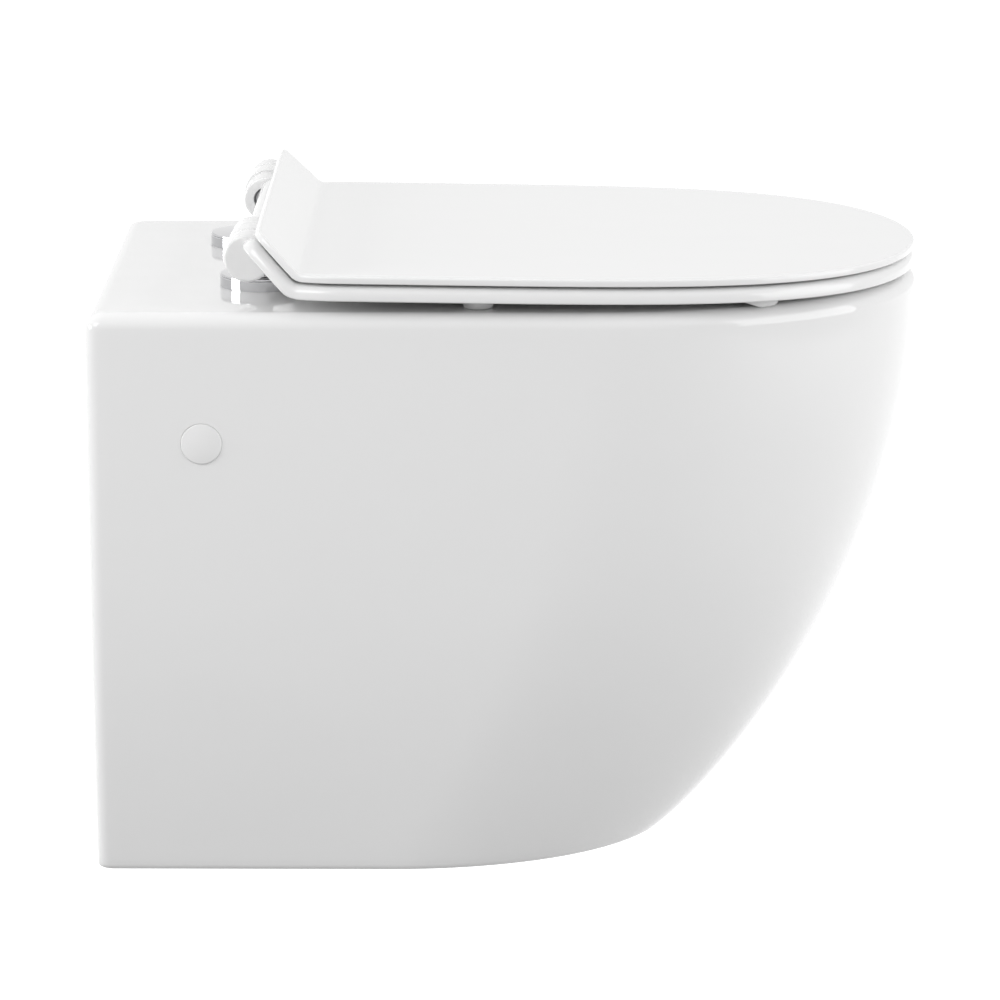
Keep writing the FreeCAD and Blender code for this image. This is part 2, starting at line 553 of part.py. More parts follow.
for name, side in SIDES.items():
    outward = "x" if side > 0 else "-x"
    hole_x = along(side, "seat_hole_spacing / 2")
    base_y = f"-seat_hole_reach + {side} * base_offset"
    post_x = along(side, POST_X)

    cover_blank = rounded_rod(f"cover_disc_{name}", "cover_radius", "cover_height", "cover_wall",
                              (hole_x, base_y, "rim_level"))
    cover_hollow = rod(f"cover_hollow_{name}", "cover_radius - cover_wall",
                       f"cover_height - cover_wall + {PAST}", (hole_x, base_y, f"rim_level - {PAST}"))
    cover_hole = rod(f"cover_hole_{name}", "post_radius + running_fit", "cover_height",
                     (post_x, POST_Y, f"{COVER_CEILING} - {PAST}"))
    keep(f"hinge_cover_{name}", cut(f"cover_{name}", cover_blank, cover_hollow, cover_hole))

    base_disc = rod(f"base_disc_{name}", "cover_radius - cover_wall - running_fit", "base_thick",
                    (hole_x, base_y, "rim_level"))
    bolt_hole = rod(f"base_bolt_hole_{name}", "bolt_radius", f"base_thick + 2 * {PAST}",
                    (hole_x, "-seat_hole_reach", f"rim_level - {PAST}"))
    post_hole = rod(f"base_post_hole_{name}", "post_radius", f"base_thick + 2 * {PAST}",
                    (post_x, POST_Y, f"rim_level - {PAST}"))
    keep(f"hinge_base_{name}", cut(f"base_{name}", base_disc, bolt_hole, post_hole))

    keep(f"hinge_post_{name}",
         rod(f"post_{name}", "post_radius", "post_length", (post_x, POST_Y, "rim_level")))

    keep(f"hinge_bolt_{name}", rod(f"bolt_{name}", "bolt_radius", "bolt_length",
                                   (hole_x, "-seat_hole_reach", "rim_level + base_thick - bolt_length")))

    plug_stem = rod(f"plug_stem_{name}", "seat_hole_radius - running_fit", "deck_wall",
                    (hole_x, "-seat_hole_reach", "rim_level - deck_wall"))
    nut_top = "rim_level - deck_wall - plug_flange_thick"
    plug_foot = cone(f"plug_foot_{name}", "plug_flange", "seat_hole_radius + plug_flange_thick",
                     "plug_flange_thick", (hole_x, "-seat_hole_reach", nut_top))
    plug_bore = rod(f"plug_bore_{name}", "bolt_radius", f"deck_wall + plug_flange_thick + 2 * {PAST}",
                    (hole_x, "-seat_hole_reach", f"{nut_top} - {PAST}"))
    keep(f"hinge_plug_{name}", cut(f"plug_{name}", fuse(f"plug_blank_{name}", plug_stem, plug_foot), plug_bore))

    nut_flange = rod(f"nut_flange_{name}", "nut_radius", "nut_flange_thick",
                     (hole_x, "-seat_hole_reach", f"{nut_top} - nut_flange_thick"))
    nut_grip = doc.addObject("Part::Prism", f"nut_grip_{name}")
    nut_grip.Polygon = 6
    bind(nut_grip, {"Circumradius": "nut_grip_radius", "Height": "nut_height"})
    put(nut_grip, (hole_x, "-seat_hole_reach", f"{nut_top} - nut_height"))
    nut_bore = rod(f"nut_bore_{name}", "bolt_radius", f"nut_height + 2 * {PAST}",
                   (hole_x, "-seat_hole_reach", f"{nut_top} - nut_height - {PAST}"))
    keep(f"hinge_nut_{name}", cut(f"nut_{name}", fuse(f"nut_blank_{name}", nut_flange, nut_grip), nut_bore))

    barrel = rod(f"barrel_{name}", "barrel_radius", "barrel_length",
                 (along(side, BARREL_START), "-hinge_reach", HINGE_LEVEL), outward)
    neck = rod(f"neck_{name}", "neck_radius", "hinge_rise - cover_height - joint_gap",
               (post_x, POST_Y, "rim_level + cover_height + joint_gap"))
    damper_bore = rod(f"damper_bore_{name}", "damper_radius", f"barrel_length + 2 * {PAST}",
                      (along(side, f"{BARREL_START} - {PAST}"), "-hinge_reach", HINGE_LEVEL), outward)
    post_bore = rod(f"post_bore_{name}", "post_radius + running_fit", "post_length",
                    (post_x, POST_Y, "rim_level + running_fit"))
    blank = fuse(f"body_blank_{name}", barrel, neck)
    keep(f"hinge_body_{name}", cut(f"body_{name}", blank, damper_bore, post_bore))

    damper_case = rod(f"damper_case_{name}", "damper_radius - running_fit", "damper_length",
                      (along(side, f"{DAMPER_END} - damper_length"), "-hinge_reach", HINGE_LEVEL), outward)
    damper_mouth = rod(f"damper_mouth_{name}", "shaft_radius + running_fit", f"shaft_grip + {PAST}",
                       (along(side, f"{DAMPER_END} - shaft_grip - running_fit"), "-hinge_reach", HINGE_LEVEL),
                       outward)
    damper_centre = rod(f"damper_centre_{name}", "centre_radius", f"centre_depth + {PAST}",
                        (along(side, f"{DAMPER_END} - damper_length - {PAST}"), "-hinge_reach", HINGE_LEVEL),
                        outward)
    keep(f"damper_{name}", cut(f"damper_unit_{name}", damper_case, damper_mouth, damper_centre))

# ---- the seat hinges: the shafts and bushes that turn with the lid or the seat ----

LID_KNUCKLE = f"({BARREL_END} + joint_gap)"
LID_KNUCKLE_END = f"({LID_KNUCKLE} + lid_knuckle_length)"
SEAT_KNUCKLE = f"({LID_KNUCKLE_END} + joint_gap)"
SEAT_KNUCKLE_END = f"({SEAT_KNUCKLE} + seat_knuckle_length)"
SHAFT_START = f"({DAMPER_END} - shaft_grip)"
SHAFT_END = f"({SEAT_KNUCKLE_END} - knuckle_end)"

for name, side in SIDES.items():
    outward = "x" if side > 0 else "-x"
    keep(f"damper_shaft_{name}", rod(f"shaft_{name}", "shaft_radius", f"{SHAFT_END} - {SHAFT_START}",
                                     (along(side, SHAFT_START), "-hinge_reach", HINGE_LEVEL), outward))
    # The left damper works the lid, so its shaft turns in a bush in the seat. The right one works the seat.
    if name == "left":
        bush_start, bush_length = SEAT_KNUCKLE, "seat_knuckle_length - knuckle_end"
    else:
        bush_start, bush_length = LID_KNUCKLE, "lid_knuckle_length"
    bush_wall = rod(f"bush_wall_{name}", "bush_radius", bush_length,
                    (along(side, bush_start), "-hinge_reach", HINGE_LEVEL), outward)
    bush_bore = rod(f"bush_bore_{name}", "shaft_radius + running_fit", f"{bush_length} + 2 * {PAST}",
                    (along(side, f"{bush_start} - {PAST}"), "-hinge_reach", HINGE_LEVEL), outward)
    keep(f"knuckle_bush_{name}", cut(f"bush_{name}", bush_wall, bush_bore))

# ---- the seat and the lid, drawn level with the hinge axis as their origin ----

LEAF_POWER = 4.85  # how late the sides of the seat and the lid curve in
LEAF_ROOT = 1.9  # how round their front is
LEAF_STEPS = 14  # points from the widest place to the tip
SIDE_BULGE = 0.9  # how early the sides come near the full width
SLOPE = math.sqrt(0.5)  # the flange is turned up by 45 degrees
TOLERANCE = 0.01


def leaf_outline():
    """The plan of the seat and of the lid, from the flange's edge round the tip, as a tall prism's base."""
    reach, widest = S.leaf_length - S.hinge_reach, S.leaf_widest - S.hinge_reach
    half, edge = S.leaf_width / 2, S.flange_width / 2
    points = []
    for step in range(LEAF_STEPS + 1):
        share = math.sin(math.pi / 2 * step / LEAF_STEPS)
        width = half * (1 - share ** LEAF_POWER) ** (1 / LEAF_ROOT)
        points.append(Vector(width, -widest - (reach - widest) * share, 0))
    mirrored = [Vector(-point.x, point.y, 0) for point in reversed(points[:-1])]
    curve = Part.BSplineCurve()
    curve.interpolate(points + mirrored, InitialTangent=Vector(0, -1, 0), FinalTangent=Vector(0, 1, 0))
    back = S.flange_offset
    bulge = edge + (half - edge) * SIDE_BULGE
    right = Part.BezierCurve()
    right.setPoles([Vector(edge, 0, 0), Vector(bulge, -widest / 2, 0), Vector(half, -widest, 0)])
    left = Part.BezierCurve()
    left.setPoles([Vector(-half, -widest, 0), Vector(-bulge, -widest / 2, 0), Vector(-edge, 0, 0)])
    wire = Part.Wire([
        Part.makeLine(Vector(-edge, back, 0), Vector(edge, back, 0)),
        Part.makeLine(Vector(edge, back, 0), Vector(edge, 0, 0)),
        right.toShape(), curve.toShape(), left.toShape(),
        Part.makeLine(Vector(-edge, 0, 0), Vector(-edge, back, 0)),
    ])
    base = Part.Face(wire)
    base.translate(Vector(0, 0, -S.pan_height))
    return base.extrude(Vector(0, 0, 2 * S.pan_height))


def bent_plate(top_drop, top_offset, thick, rise):
    """A level plate with its back turned up by 45 degrees, seen from the side and drawn across the width."""
    bottom_drop, bottom_offset = top_drop + thick, top_offset - thick
    reach = S.leaf_length

    def on_flange(offset, run):
        return Vector(0, (-offset + run) * SLOPE, (offset + run) * SLOPE)

    def crease(offset, drop):
        run = -(drop / SLOPE) - offset
        return on_flange(offset, run)

    top_crease, bottom_crease = crease(top_offset, top_drop), crease(bottom_offset, bottom_drop)
    corners = [
        Vector(0, -reach, -top_drop), top_crease, on_flange(top_offset, rise),
        on_flange(bottom_offset, rise), bottom_crease, Vector(0, -reach, -bottom_drop),
    ]
    profile = Part.Face(Part.makePolygon(corners + corners[:1]))
    profile.translate(Vector(-S.leaf_width, 0, 0))
    solid = profile.extrude(Vector(2 * S.leaf_width, 0, 0))

    def along_x_at(point):
        return [
            edge for edge in solid.Edges
            if edge.BoundBox.XLength > S.leaf_width
            and abs(edge.BoundBox.YMin - point.y) < TOLERANCE and abs(edge.BoundBox.ZMin - point.z) < TOLERANCE
        ]

    solid = solid.makeFillet(S.crease_round, along_x_at(top_crease))
    return solid.makeFillet(S.crease_round + thick, along_x_at(bottom_crease))


def leaf_opening():
    """The opening of the seat, an oval prism."""
    half = S.leaf_width / 2 - S.ring_side
    front = S.leaf_length - S.ring_front - S.bowl_middle
    rear = S.bowl_middle - S.ring_rear
    wire = oval(half, S.bowl_middle - S.hinge_reach, front, rear, -S.pan_height)
    return Part.Face(wire).extrude(Vector(0, 0, 2 * S.pan_height))


def set_on_hinge(item):
    """Place an object drawn about the hinge axis: at the axis, with the slope of the closed seat."""
    item.Placement = Placement(Vector(), Rotation(Vector(1, 0, 0), S.leaf_tilt))
    return bind(item, {
        "Placement.Base.y": "-hinge_reach",
        "Placement.Base.z": HINGE_LEVEL,
        "Placement.Rotation.Angle": "leaf_tilt",
    })


SEAT_DROP = S.crease_drop + S.lid_thick + S.leaf_gap
SEAT_OFFSET = S.flange_offset - S.lid_thick - S.leaf_gap
leaf_prism = free_form("leaf_prism", leaf_outline())
lid_bend = free_form("lid_bend", bent_plate(S.crease_drop, S.flange_offset, S.lid_thick, S.flange_rise))
seat_bend = free_form("seat_bend", bent_plate(SEAT_DROP, SEAT_OFFSET, S.seat_thick, S.seat_flange_rise))
opening = free_form("seat_opening", leaf_opening())

lid_parts = [common("lid_plate", leaf_prism, lid_bend)]
seat_knuckles, lid_bores, seat_bores, notches = [], [], [], []
WEB_START = f"-web_width / 2 * {SLOPE}"
for name, side in SIDES.items():
    outward = "x" if side > 0 else "-x"
    lid_parts.append(rod(f"lid_knuckle_{name}", "knuckle_radius", "lid_knuckle_length",
                         (along(side, LID_KNUCKLE), 0, 0), outward))
    web = doc.addObject("Part::Box", f"lid_web_{name}")
    bind(web, {"Length": "lid_knuckle_length", "Width": "web_width", "Height": "flange_offset - lid_thick / 2"})
    web.Placement = Placement(Vector(), Rotation(Vector(1, 0, 0), 45))
    web_start = LID_KNUCKLE if side > 0 else LID_KNUCKLE_END
    bind(web, {
        "Placement.Base.x": along(side, web_start),
        "Placement.Base.y": WEB_START,
        "Placement.Base.z": WEB_START,
    })
    lid_parts.append(web)
    seat_knuckles.append(rounded_rod(f"seat_knuckle_{name}", "knuckle_radius", "seat_knuckle_length",
                                     "knuckle_round", (along(side, SEAT_KNUCKLE), 0, 0), outward))
    lid_hole = "shaft_radius" if name == "left" else "bush_radius"
    seat_hole = "bush_radius" if name == "left" else "shaft_radius"
    lid_bores.append(rod(f"lid_bore_{name}", lid_hole, f"lid_knuckle_length + 2 * {PAST}",
                         (along(side, f"{LID_KNUCKLE} - {PAST}"), 0, 0), outward))
    seat_bores.append(rod(f"seat_bore_{name}", seat_hole, f"{SHAFT_END} - {SEAT_KNUCKLE} + {PAST}",
                          (along(side, f"{SEAT_KNUCKLE} - {PAST}"), 0, 0), outward))
    notches.append(rod(f"notch_{name}", "knuckle_radius + notch_gap",
                       f"{SEAT_KNUCKLE} - {BARREL_START} + notch_gap",
                       (along(side, f"{BARREL_START} - notch_gap"), 0, 0), outward))

seat_plate = cut("seat_plate", common("seat_blank", leaf_prism, seat_bend), opening, *notches)
keep("lid", set_on_hinge(cut("lid_form", fuse("lid_solid", *lid_parts), *lid_bores)))
keep("seat_ring", set_on_hinge(cut("seat_form", fuse("seat_solid", seat_plate, *seat_knuckles), *seat_bores)))


# ---- the bumpers under the seat and under the lid ----

SEAT_UNDERSIDE = "(crease_drop + lid_thick + leaf_gap + seat_thick)"


def rim_edge(reach):
    """Half the pan's width over the rim at a distance from the wall."""
    bend = (reach - S.side_straight) / (S.pan_length - S.side_straight)
    return S.pan_width / 2 * (math.sqrt(1 - bend ** 2) if bend > 0 else 1)


def ring_middle(reach):
    """Half the distance between two bumpers that stand on the middle of the rim, by their reach."""
    share = (reach - S.bowl_middle) / MOUTH_FRONT
    mouth = MOUTH_HALF * math.sqrt(1 - share ** 2) if share > 0 else MOUTH_HALF
    return (mouth + rim_edge(reach)) / 2


def bumper(name, x, alias):
    """A rubber foot that tapers from the seat's underside to the rim."""
    local_y = f"hinge_reach - {alias}"
    drop = f"(hinge_rise - {SEAT_UNDERSIDE} * cos(leaf_tilt) - ({alias} - hinge_reach) * sin(leaf_tilt))"
    return cone(name, "bumper_foot", "bumper_radius", f"{drop} - rest_gap - bumper_foot * sin(leaf_tilt)",
                (x, local_y, f"-{SEAT_UNDERSIDE} - ({drop} - rest_gap - bumper_foot * sin(leaf_tilt))"))


seat_feet = []
for name, side in SIDES.items():
    seat_feet.append(bumper(f"rear_bumper_{name}", side * ring_middle(S.bumper_rear), "bumper_rear"))
    seat_feet.append(bumper(f"front_bumper_{name}", side * (rim_edge(S.bumper_front) - S.bumper_inset),
                            "bumper_front"))
keep("seat_bumpers", set_on_hinge(fuse("seat_feet", *seat_feet)))

lid_foot_level = "-crease_drop - lid_thick - leaf_gap + rest_gap"
lid_feet = [
    rod(f"lid_bumper_{name}", "lid_bumper_radius", "leaf_gap - rest_gap",
        (side * ring_middle(S.bumper_front), "hinge_reach - bumper_front", lid_foot_level))
    for name, side in SIDES.items()
]
keep("lid_bumpers", set_on_hinge(fuse("lid_feet", *lid_feet)))

# ---- check every object and write one file for each sub-part ----

doc.recompute()
failed = [item.Label for item in doc.Objects if {"Invalid", "Error"} & set(item.State)]
if failed:
    raise RuntimeError("failed objects: " + ", ".join(failed))
for node, item in subparts.items():
    if item.Shape.isNull() or not item.Shape.isValid() or not item.Shape.Solids:
        raise RuntimeError("bad shape: " + node)

os.makedirs("parts", exist_ok=True)
for node, item in subparts.items():
    item.Shape.exportStep(f"parts/{node}.step")
    box = item.Shape.BoundBox
    low = f"{box.XMin:.1f} {box.YMin:.1f} {box.ZMin:.1f}"
    high = f"{box.XMax:.1f} {box.YMax:.1f} {box.ZMax:.1f}"
    print(f"{node:20s} {len(item.Shape.Solids)} solids, {item.Shape.Volume / 1000:.2f} cm3, {low} to {high}")
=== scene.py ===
import json
import math

import bmesh
import bpy
import numpy as np
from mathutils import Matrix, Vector


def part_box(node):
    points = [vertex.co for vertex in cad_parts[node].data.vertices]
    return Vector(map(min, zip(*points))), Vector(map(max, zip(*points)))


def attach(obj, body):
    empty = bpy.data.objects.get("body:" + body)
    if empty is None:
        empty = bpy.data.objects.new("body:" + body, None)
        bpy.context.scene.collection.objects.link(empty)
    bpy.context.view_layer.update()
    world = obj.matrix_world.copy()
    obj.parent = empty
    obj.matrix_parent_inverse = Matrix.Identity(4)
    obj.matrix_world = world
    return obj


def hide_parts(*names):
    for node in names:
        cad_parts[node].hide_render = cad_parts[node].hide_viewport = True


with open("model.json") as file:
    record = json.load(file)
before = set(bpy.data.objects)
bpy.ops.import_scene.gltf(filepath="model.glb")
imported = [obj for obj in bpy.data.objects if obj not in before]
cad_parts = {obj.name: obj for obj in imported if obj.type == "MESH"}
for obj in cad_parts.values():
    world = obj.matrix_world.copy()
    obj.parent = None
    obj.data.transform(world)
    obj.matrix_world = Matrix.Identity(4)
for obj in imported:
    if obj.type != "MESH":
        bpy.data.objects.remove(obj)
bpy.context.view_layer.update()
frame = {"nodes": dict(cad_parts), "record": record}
nodes = frame["nodes"]


# ---- the viewpoint ----
# The toilet is seen from its left side, from 3.7 m away and a little above the deck, through a long lens.
# It is level with the wall studs, and its rear face lies on the wall plane, which is left out.

VIEW_FROM = Vector((-3.65424, -0.28135, 0.70515))
VIEW_DOWN = math.radians(12.01)
VIEW_ACROSS = math.radians(0.5)
LENS = 210.8  # mm, on a sensor 36 mm wide

camera = bpy.data.objects.new("camera", bpy.data.cameras.new("camera"))
camera.data.lens = LENS
camera.data.sensor_width = 36
camera.data.clip_end = 60
look = Vector((
    math.cos(VIEW_DOWN) * math.cos(VIEW_ACROSS),
    math.cos(VIEW_DOWN) * math.sin(VIEW_ACROSS),
    -math.sin(VIEW_DOWN),
))
camera.location = VIEW_FROM
camera.rotation_euler = look.to_track_quat("-Z", "Y").to_euler()
bpy.context.scene.collection.objects.link(camera)
bpy.context.scene.camera = camera
bpy.context.scene.view_settings.view_transform = "Standard"


# ---- the studio: a pale floor, a white surround and soft lamps ----
# The toilet hangs over the floor, as it does on a wall, and the floor keeps its shadow. Further out the
# floor has a light of its own, which only the camera and the gloss see. Soft lamps stand overhead, to the
# left, in front and behind.

FLOOR_LEVEL = -0.75
FLOOR_REACH = 30.0
FLOOR_COLOUR = (0.35, 0.35, 0.35, 1)
FLOOR_SHOWN = (0.65, 0.65, 0.65, 1)
LIFT_NEAR = 0.35  # the floor's own light in its middle
LIFT_FAR = 1.0
LIFT_FROM = 0.6  # from the middle of the floor to where its own light starts to grow
LIFT_TO = 1.6  # and to where it is full
SURROUND_LIGHT = 0.55
LAMPS = {
    # name: (place, aimed at, width, height, watts)
    "overhead": ((1.2, 0.1, 2.5), (0, -0.25, 0), 3.8, 3.8, 14),
    "left_rear": ((-2.5, 1.5, 2.2), (0, -0.25, -0.1), 1.6, 1.6, 35),
    "front_low": ((-1.0, -3.2, 0.6), (0, -0.25, -0.1), 3.0, 2.2, 50),
    "front_high": ((-0.35, -2.5, 1.9), (0, -0.25, 0), 1.2, 0.4, 5),
    "wall_side": ((-0.8, 3.0, 0.8), (0, -0.1, 0), 1.65, 1.2, 48),
}


def seen_directly(tree):
    """One for rays from the camera, from gloss and through clear material, and zero for scattered light."""
    path = tree.nodes.new("ShaderNodeLightPath")
    total = None
    for ray in ("Is Camera Ray", "Is Glossy Ray", "Is Transmission Ray"):
        if total is None:
            total = path.outputs[ray]
            continue
        adder = tree.nodes.new("ShaderNodeMath")
        adder.operation = "MAXIMUM"
        tree.links.new(total, adder.inputs[0])
        tree.links.new(path.outputs[ray], adder.inputs[1])
        total = adder.outputs[0]
    return total


world = bpy.data.worlds.new("surround")
bpy.context.scene.world = world
world.use_nodes = True
tree = world.node_tree
tree.nodes.clear()
lit = tree.nodes.new("ShaderNodeBackground")
lit.inputs["Strength"].default_value = SURROUND_LIGHT
shown = tree.nodes.new("ShaderNodeBackground")
mixed = tree.nodes.new("ShaderNodeMixShader")
tree.links.new(seen_directly(tree), mixed.inputs[0])
tree.links.new(lit.outputs[0], mixed.inputs[1])
tree.links.new(shown.outputs[0], mixed.inputs[2])
tree.links.new(mixed.outputs[0], tree.nodes.new("ShaderNodeOutputWorld").inputs[0])
for background in (lit, shown):
    background.inputs["Color"].default_value = (1, 1, 1, 1)

corners = [(-FLOOR_REACH, -FLOOR_REACH), (FLOOR_REACH, -FLOOR_REACH), (FLOOR_REACH, FLOOR_REACH),
           (-FLOOR_REACH, FLOOR_REACH)]
floor_mesh = bpy.data.meshes.new("floor")
floor_mesh.from_pydata([(x, y, 0) for x, y in corners], [], [(0, 1, 2, 3)])
floor = bpy.data.objects.new("floor", floor_mesh)
floor.location.z = FLOOR_LEVEL
bpy.context.scene.collection.objects.link(floor)
paint = bpy.data.materials.new("floor_paint")
paint.use_nodes = True
tree = paint.node_tree
tree.nodes.clear()
scattered = tree.nodes.new("ShaderNodeBsdfDiffuse")
scattered.inputs["Color"].default_value = FLOOR_COLOUR
pale = tree.nodes.new("ShaderNodeBsdfDiffuse")
pale.inputs["Color"].default_value = FLOOR_SHOWN
lift = tree.nodes.new("ShaderNodeEmission")
place = tree.nodes.new("ShaderNodeTexCoord")
distance = tree.nodes.new("ShaderNodeVectorMath")
distance.operation = "LENGTH"
further = tree.nodes.new("ShaderNodeMapRange")
further.interpolation_type = "SMOOTHSTEP"
further.inputs["From Min"].default_value = LIFT_FROM
further.inputs["From Max"].default_value = LIFT_TO
further.inputs["To Min"].default_value = LIFT_NEAR
further.inputs["To Max"].default_value = LIFT_FAR
tree.links.new(place.outputs["Object"], distance.inputs[0])
tree.links.new(distance.outputs["Value"], further.inputs["Value"])
tree.links.new(further.outputs["Result"], lift.inputs["Strength"])
lifted = tree.nodes.new("ShaderNodeAddShader")
mixed = tree.nodes.new("ShaderNodeMixShader")
tree.links.new(pale.outputs[0], lifted.inputs[0])
tree.links.new(lift.outputs[0], lifted.inputs[1])
tree.links.new(seen_directly(tree), mixed.inputs[0])
tree.links.new(scattered.outputs[0], mixed.inputs[1])
tree.links.new(lifted.outputs[0], mixed.inputs[2])
tree.links.new(mixed.outputs[0], tree.nodes.new("ShaderNodeOutputMaterial").inputs[0])
floor_mesh.materials.append(paint)

for name, (place, target, width, height, watts) in LAMPS.items():
    lamp = bpy.data.objects.new(name, bpy.data.lights.new(name, "AREA"))
    lamp.data.shape = "RECTANGLE"
    lamp.data.size = width
    lamp.data.size_y = height
    lamp.data.energy = watts
    lamp.location = place
    lamp.rotation_euler = (Vector(target) - Vector(place)).to_track_quat("-Z", "Y").to_euler()
    bpy.context.scene.collection.objects.link(lamp)


# ---- the ceramic pan ----
# One firing of vitreous china: the skirt, the deck, the rim and the bowl, hollow behind and open to the wall.
# It is slip cast, so every edge is rounded, and the glaze is glossy with a very slight waviness.

pan_low, pan_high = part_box("ceramic_pan")
RIM_LEVEL = pan_high.z
BOTTOM_LEVEL = pan_low.z
PAN_HEIGHT = RIM_LEVEL - BOTTOM_LEVEL
PAN_HALF = pan_high.x
PAN_LENGTH = -pan_low.y
BASE_HALF = 0.140
BASE_LENGTH = 0.3525
RIM_STRAIGHT = 0.306  # the length of the straight side at the rim
BASE_STRAIGHT = 0.183
FRONT_POWER = 0.875
STRAIGHT_POWER = 1.6
RIM_ROUND = 0.010
BASE_ROUND = 0.004
WALL_ROUND = 0.008  # the upright edges against the wall
DECK_ROUND = 0.010  # the deck's edge against the wall
SKIRT_WALL = 0.011
DECK_WALL = 0.014
BOTTOM_WALL = 0.012
BOWL_MIDDLE = 0.305  # wall to the widest place of the bowl
MOUTH_HALF = 0.132
MOUTH_FRONT = 0.163
MOUTH_REAR = 0.110
LIP_ROUND = 0.006
BOWL_WALL = 0.010
SUMP_MIDDLE = 0.255
SUMP_DEPTH = 0.302
SUMP_SHARE = 0.24  # the sump's size as a share of the mouth's
BOWL_POWER = 1.5
SUMP_ROUND = 0.016
SIDE_STEPS = 36
FRONT_STEPS = 80
CORNER_STEPS = 9
BACK_STEPS = 32
SKIRT_STEPS = 64
ROUND_STEPS = 12
BOWL_STEPS = 48
GLAZE_WHITE = (0.86, 0.86, 0.86, 1)
DRIFT = 0.02  # how much darker a finish gets where its colour drifts
BUMP_SHARE = 0.02  # the height of a wave or a grain as a share of its size


def steps(start, end, count):
    """A column of evenly spaced values, the first parameter of a grid."""
    return np.linspace(start, end, count)[:, None]


def half_width(level):
    """Half the pan's width: full at the rim, and drawn in with the square of the depth."""
    share = (RIM_LEVEL - level) / PAN_HEIGHT
    return PAN_HALF - (PAN_HALF - BASE_HALF) * share ** 2


def front_reach(level):
    """Wall to the skirt's front: the base length plus the rest times (1 - depth squared) to a power."""
    share = np.clip((RIM_LEVEL - level) / PAN_HEIGHT, 0, 1)
    return BASE_LENGTH + (PAN_LENGTH - BASE_LENGTH) * (1 - share ** 2) ** FRONT_POWER


def straight_reach(level):
    """Wall to where the side starts to curve, falling with a power of the depth."""
    share = np.clip((RIM_LEVEL - level) / PAN_HEIGHT, 0, 1)
    return RIM_STRAIGHT + (BASE_STRAIGHT - RIM_STRAIGHT) * share ** STRAIGHT_POWER


def d_rows(level, half, start, tip, back, corner):
    """Closed outlines in plan, one per level: a rounded rear corner, a straight side, a half ellipse round
    the front, the same again mirrored, and a straight line back along the wall. The last column is the
    first."""
    back = back + 0 * level
    turn = np.linspace(0, math.pi / 2, CORNER_STEPS)[None, :]
    x = [half - corner * (1 - np.sin(turn))]
    y = [-back - corner * (1 - np.cos(turn))]
    along = np.linspace(0, 1, SIDE_STEPS + 1)[None, 1:-1]
    x.append(half + 0 * along)
    y.append(-(back + corner) * (1 - along) - start * along)
    turn = np.linspace(0, math.pi / 2, FRONT_STEPS // 2 + 1)[None, :]
    x.append(half * np.cos(turn))
    y.append(-start - (tip - start) * np.sin(turn))
    x = np.hstack(x)
    y = np.hstack(y)
    x = np.hstack([x, -x[:, -2::-1]])
    y = np.hstack([y, y[:, -2::-1]])
    across = np.linspace(-1, 1, BACK_STEPS + 1)[None, 1:]
    x = np.hstack([x, (half - corner) * across])
    y = np.hstack([y, -back + 0 * across])
    return np.stack([x, y, level + 0 * x], axis=-1)


U_COLUMNS = 2 * (CORNER_STEPS + SIDE_STEPS - 1 + FRONT_STEPS // 2 + 1) - 1


def oval_rows(level, bearing, half, middle, front, rear):
    """Closed ovals, one per level: two half ellipses about (0, -middle), met at the given polar bearings."""
    reach = np.where(np.sin(bearing) < 0, front, rear)
    radius = 1 / np.sqrt((np.cos(bearing) / half) ** 2 + (np.sin(bearing) / reach) ** 2)
    x = radius * np.cos(bearing)
    y = -middle + radius * np.sin(bearing)
    return np.stack([x, y, level + 0 * x], axis=-1)


def between(first, last, shares):
    """Rows on straight lines from one row to another."""
    shares = np.asarray(shares)[:, None, None]
    return first[None] * (1 - shares) + last[None] * shares


def bowl_rows(share, bearing, grow):
    """The bowl's wall by its depth share: an oval that shrinks with a power of the share and moves back."""
    size = SUMP_SHARE + (1 - SUMP_SHARE) * (1 - share ** BOWL_POWER)
    middle = BOWL_MIDDLE + (SUMP_MIDDLE - BOWL_MIDDLE) * share
    top = RIM_LEVEL - DECK_WALL
    level = top + (RIM_LEVEL - SUMP_DEPTH - grow - top) * share
    return oval_rows(level, bearing, MOUTH_HALF * size + grow, middle, MOUTH_FRONT * size + grow,
                     MOUTH_REAR * size + grow)


def bowl_end(share, bearing, grow, radius):
    """The bowl's floor: a quarter circle from the wall inwards, then flat to the middle."""
    turn = steps(0, math.pi / 2, 8)[1:]
    wall = bowl_rows(share, bearing, grow)[0]
    centre = wall.mean(axis=0)
    distance = np.hypot(wall[:, 0] - centre[0], wall[:, 1] - centre[1])[None, :]
    drawn = 1 - radius * (1 - np.cos(turn)) / distance
    x = centre[0] + (wall[None, :, 0] - centre[0]) * drawn
    y = centre[1] + (wall[None, :, 1] - centre[1]) * drawn
    rounded = np.stack([x, y, wall[0, 2] - radius * np.sin(turn) + 0 * x], axis=-1)
    return np.vstack([rounded, towards_middle(rounded[-1])])


def towards_middle(row):
    """Rows that close a flat outline, drawn in towards one point."""
    centre = np.array([0, row[:, 1].mean(), row[0, 2]])
    return between(row, centre + 0 * row, (0.3, 0.7, 1))


def quads(rows, columns):
    """The corner numbers of every cell of a grid."""
    first = np.arange(rows - 1)[:, None] * columns + np.arange(columns - 1)[None, :]
    return np.stack([first, first + 1, first + columns + 1, first + columns], axis=-1).reshape(-1, 4)


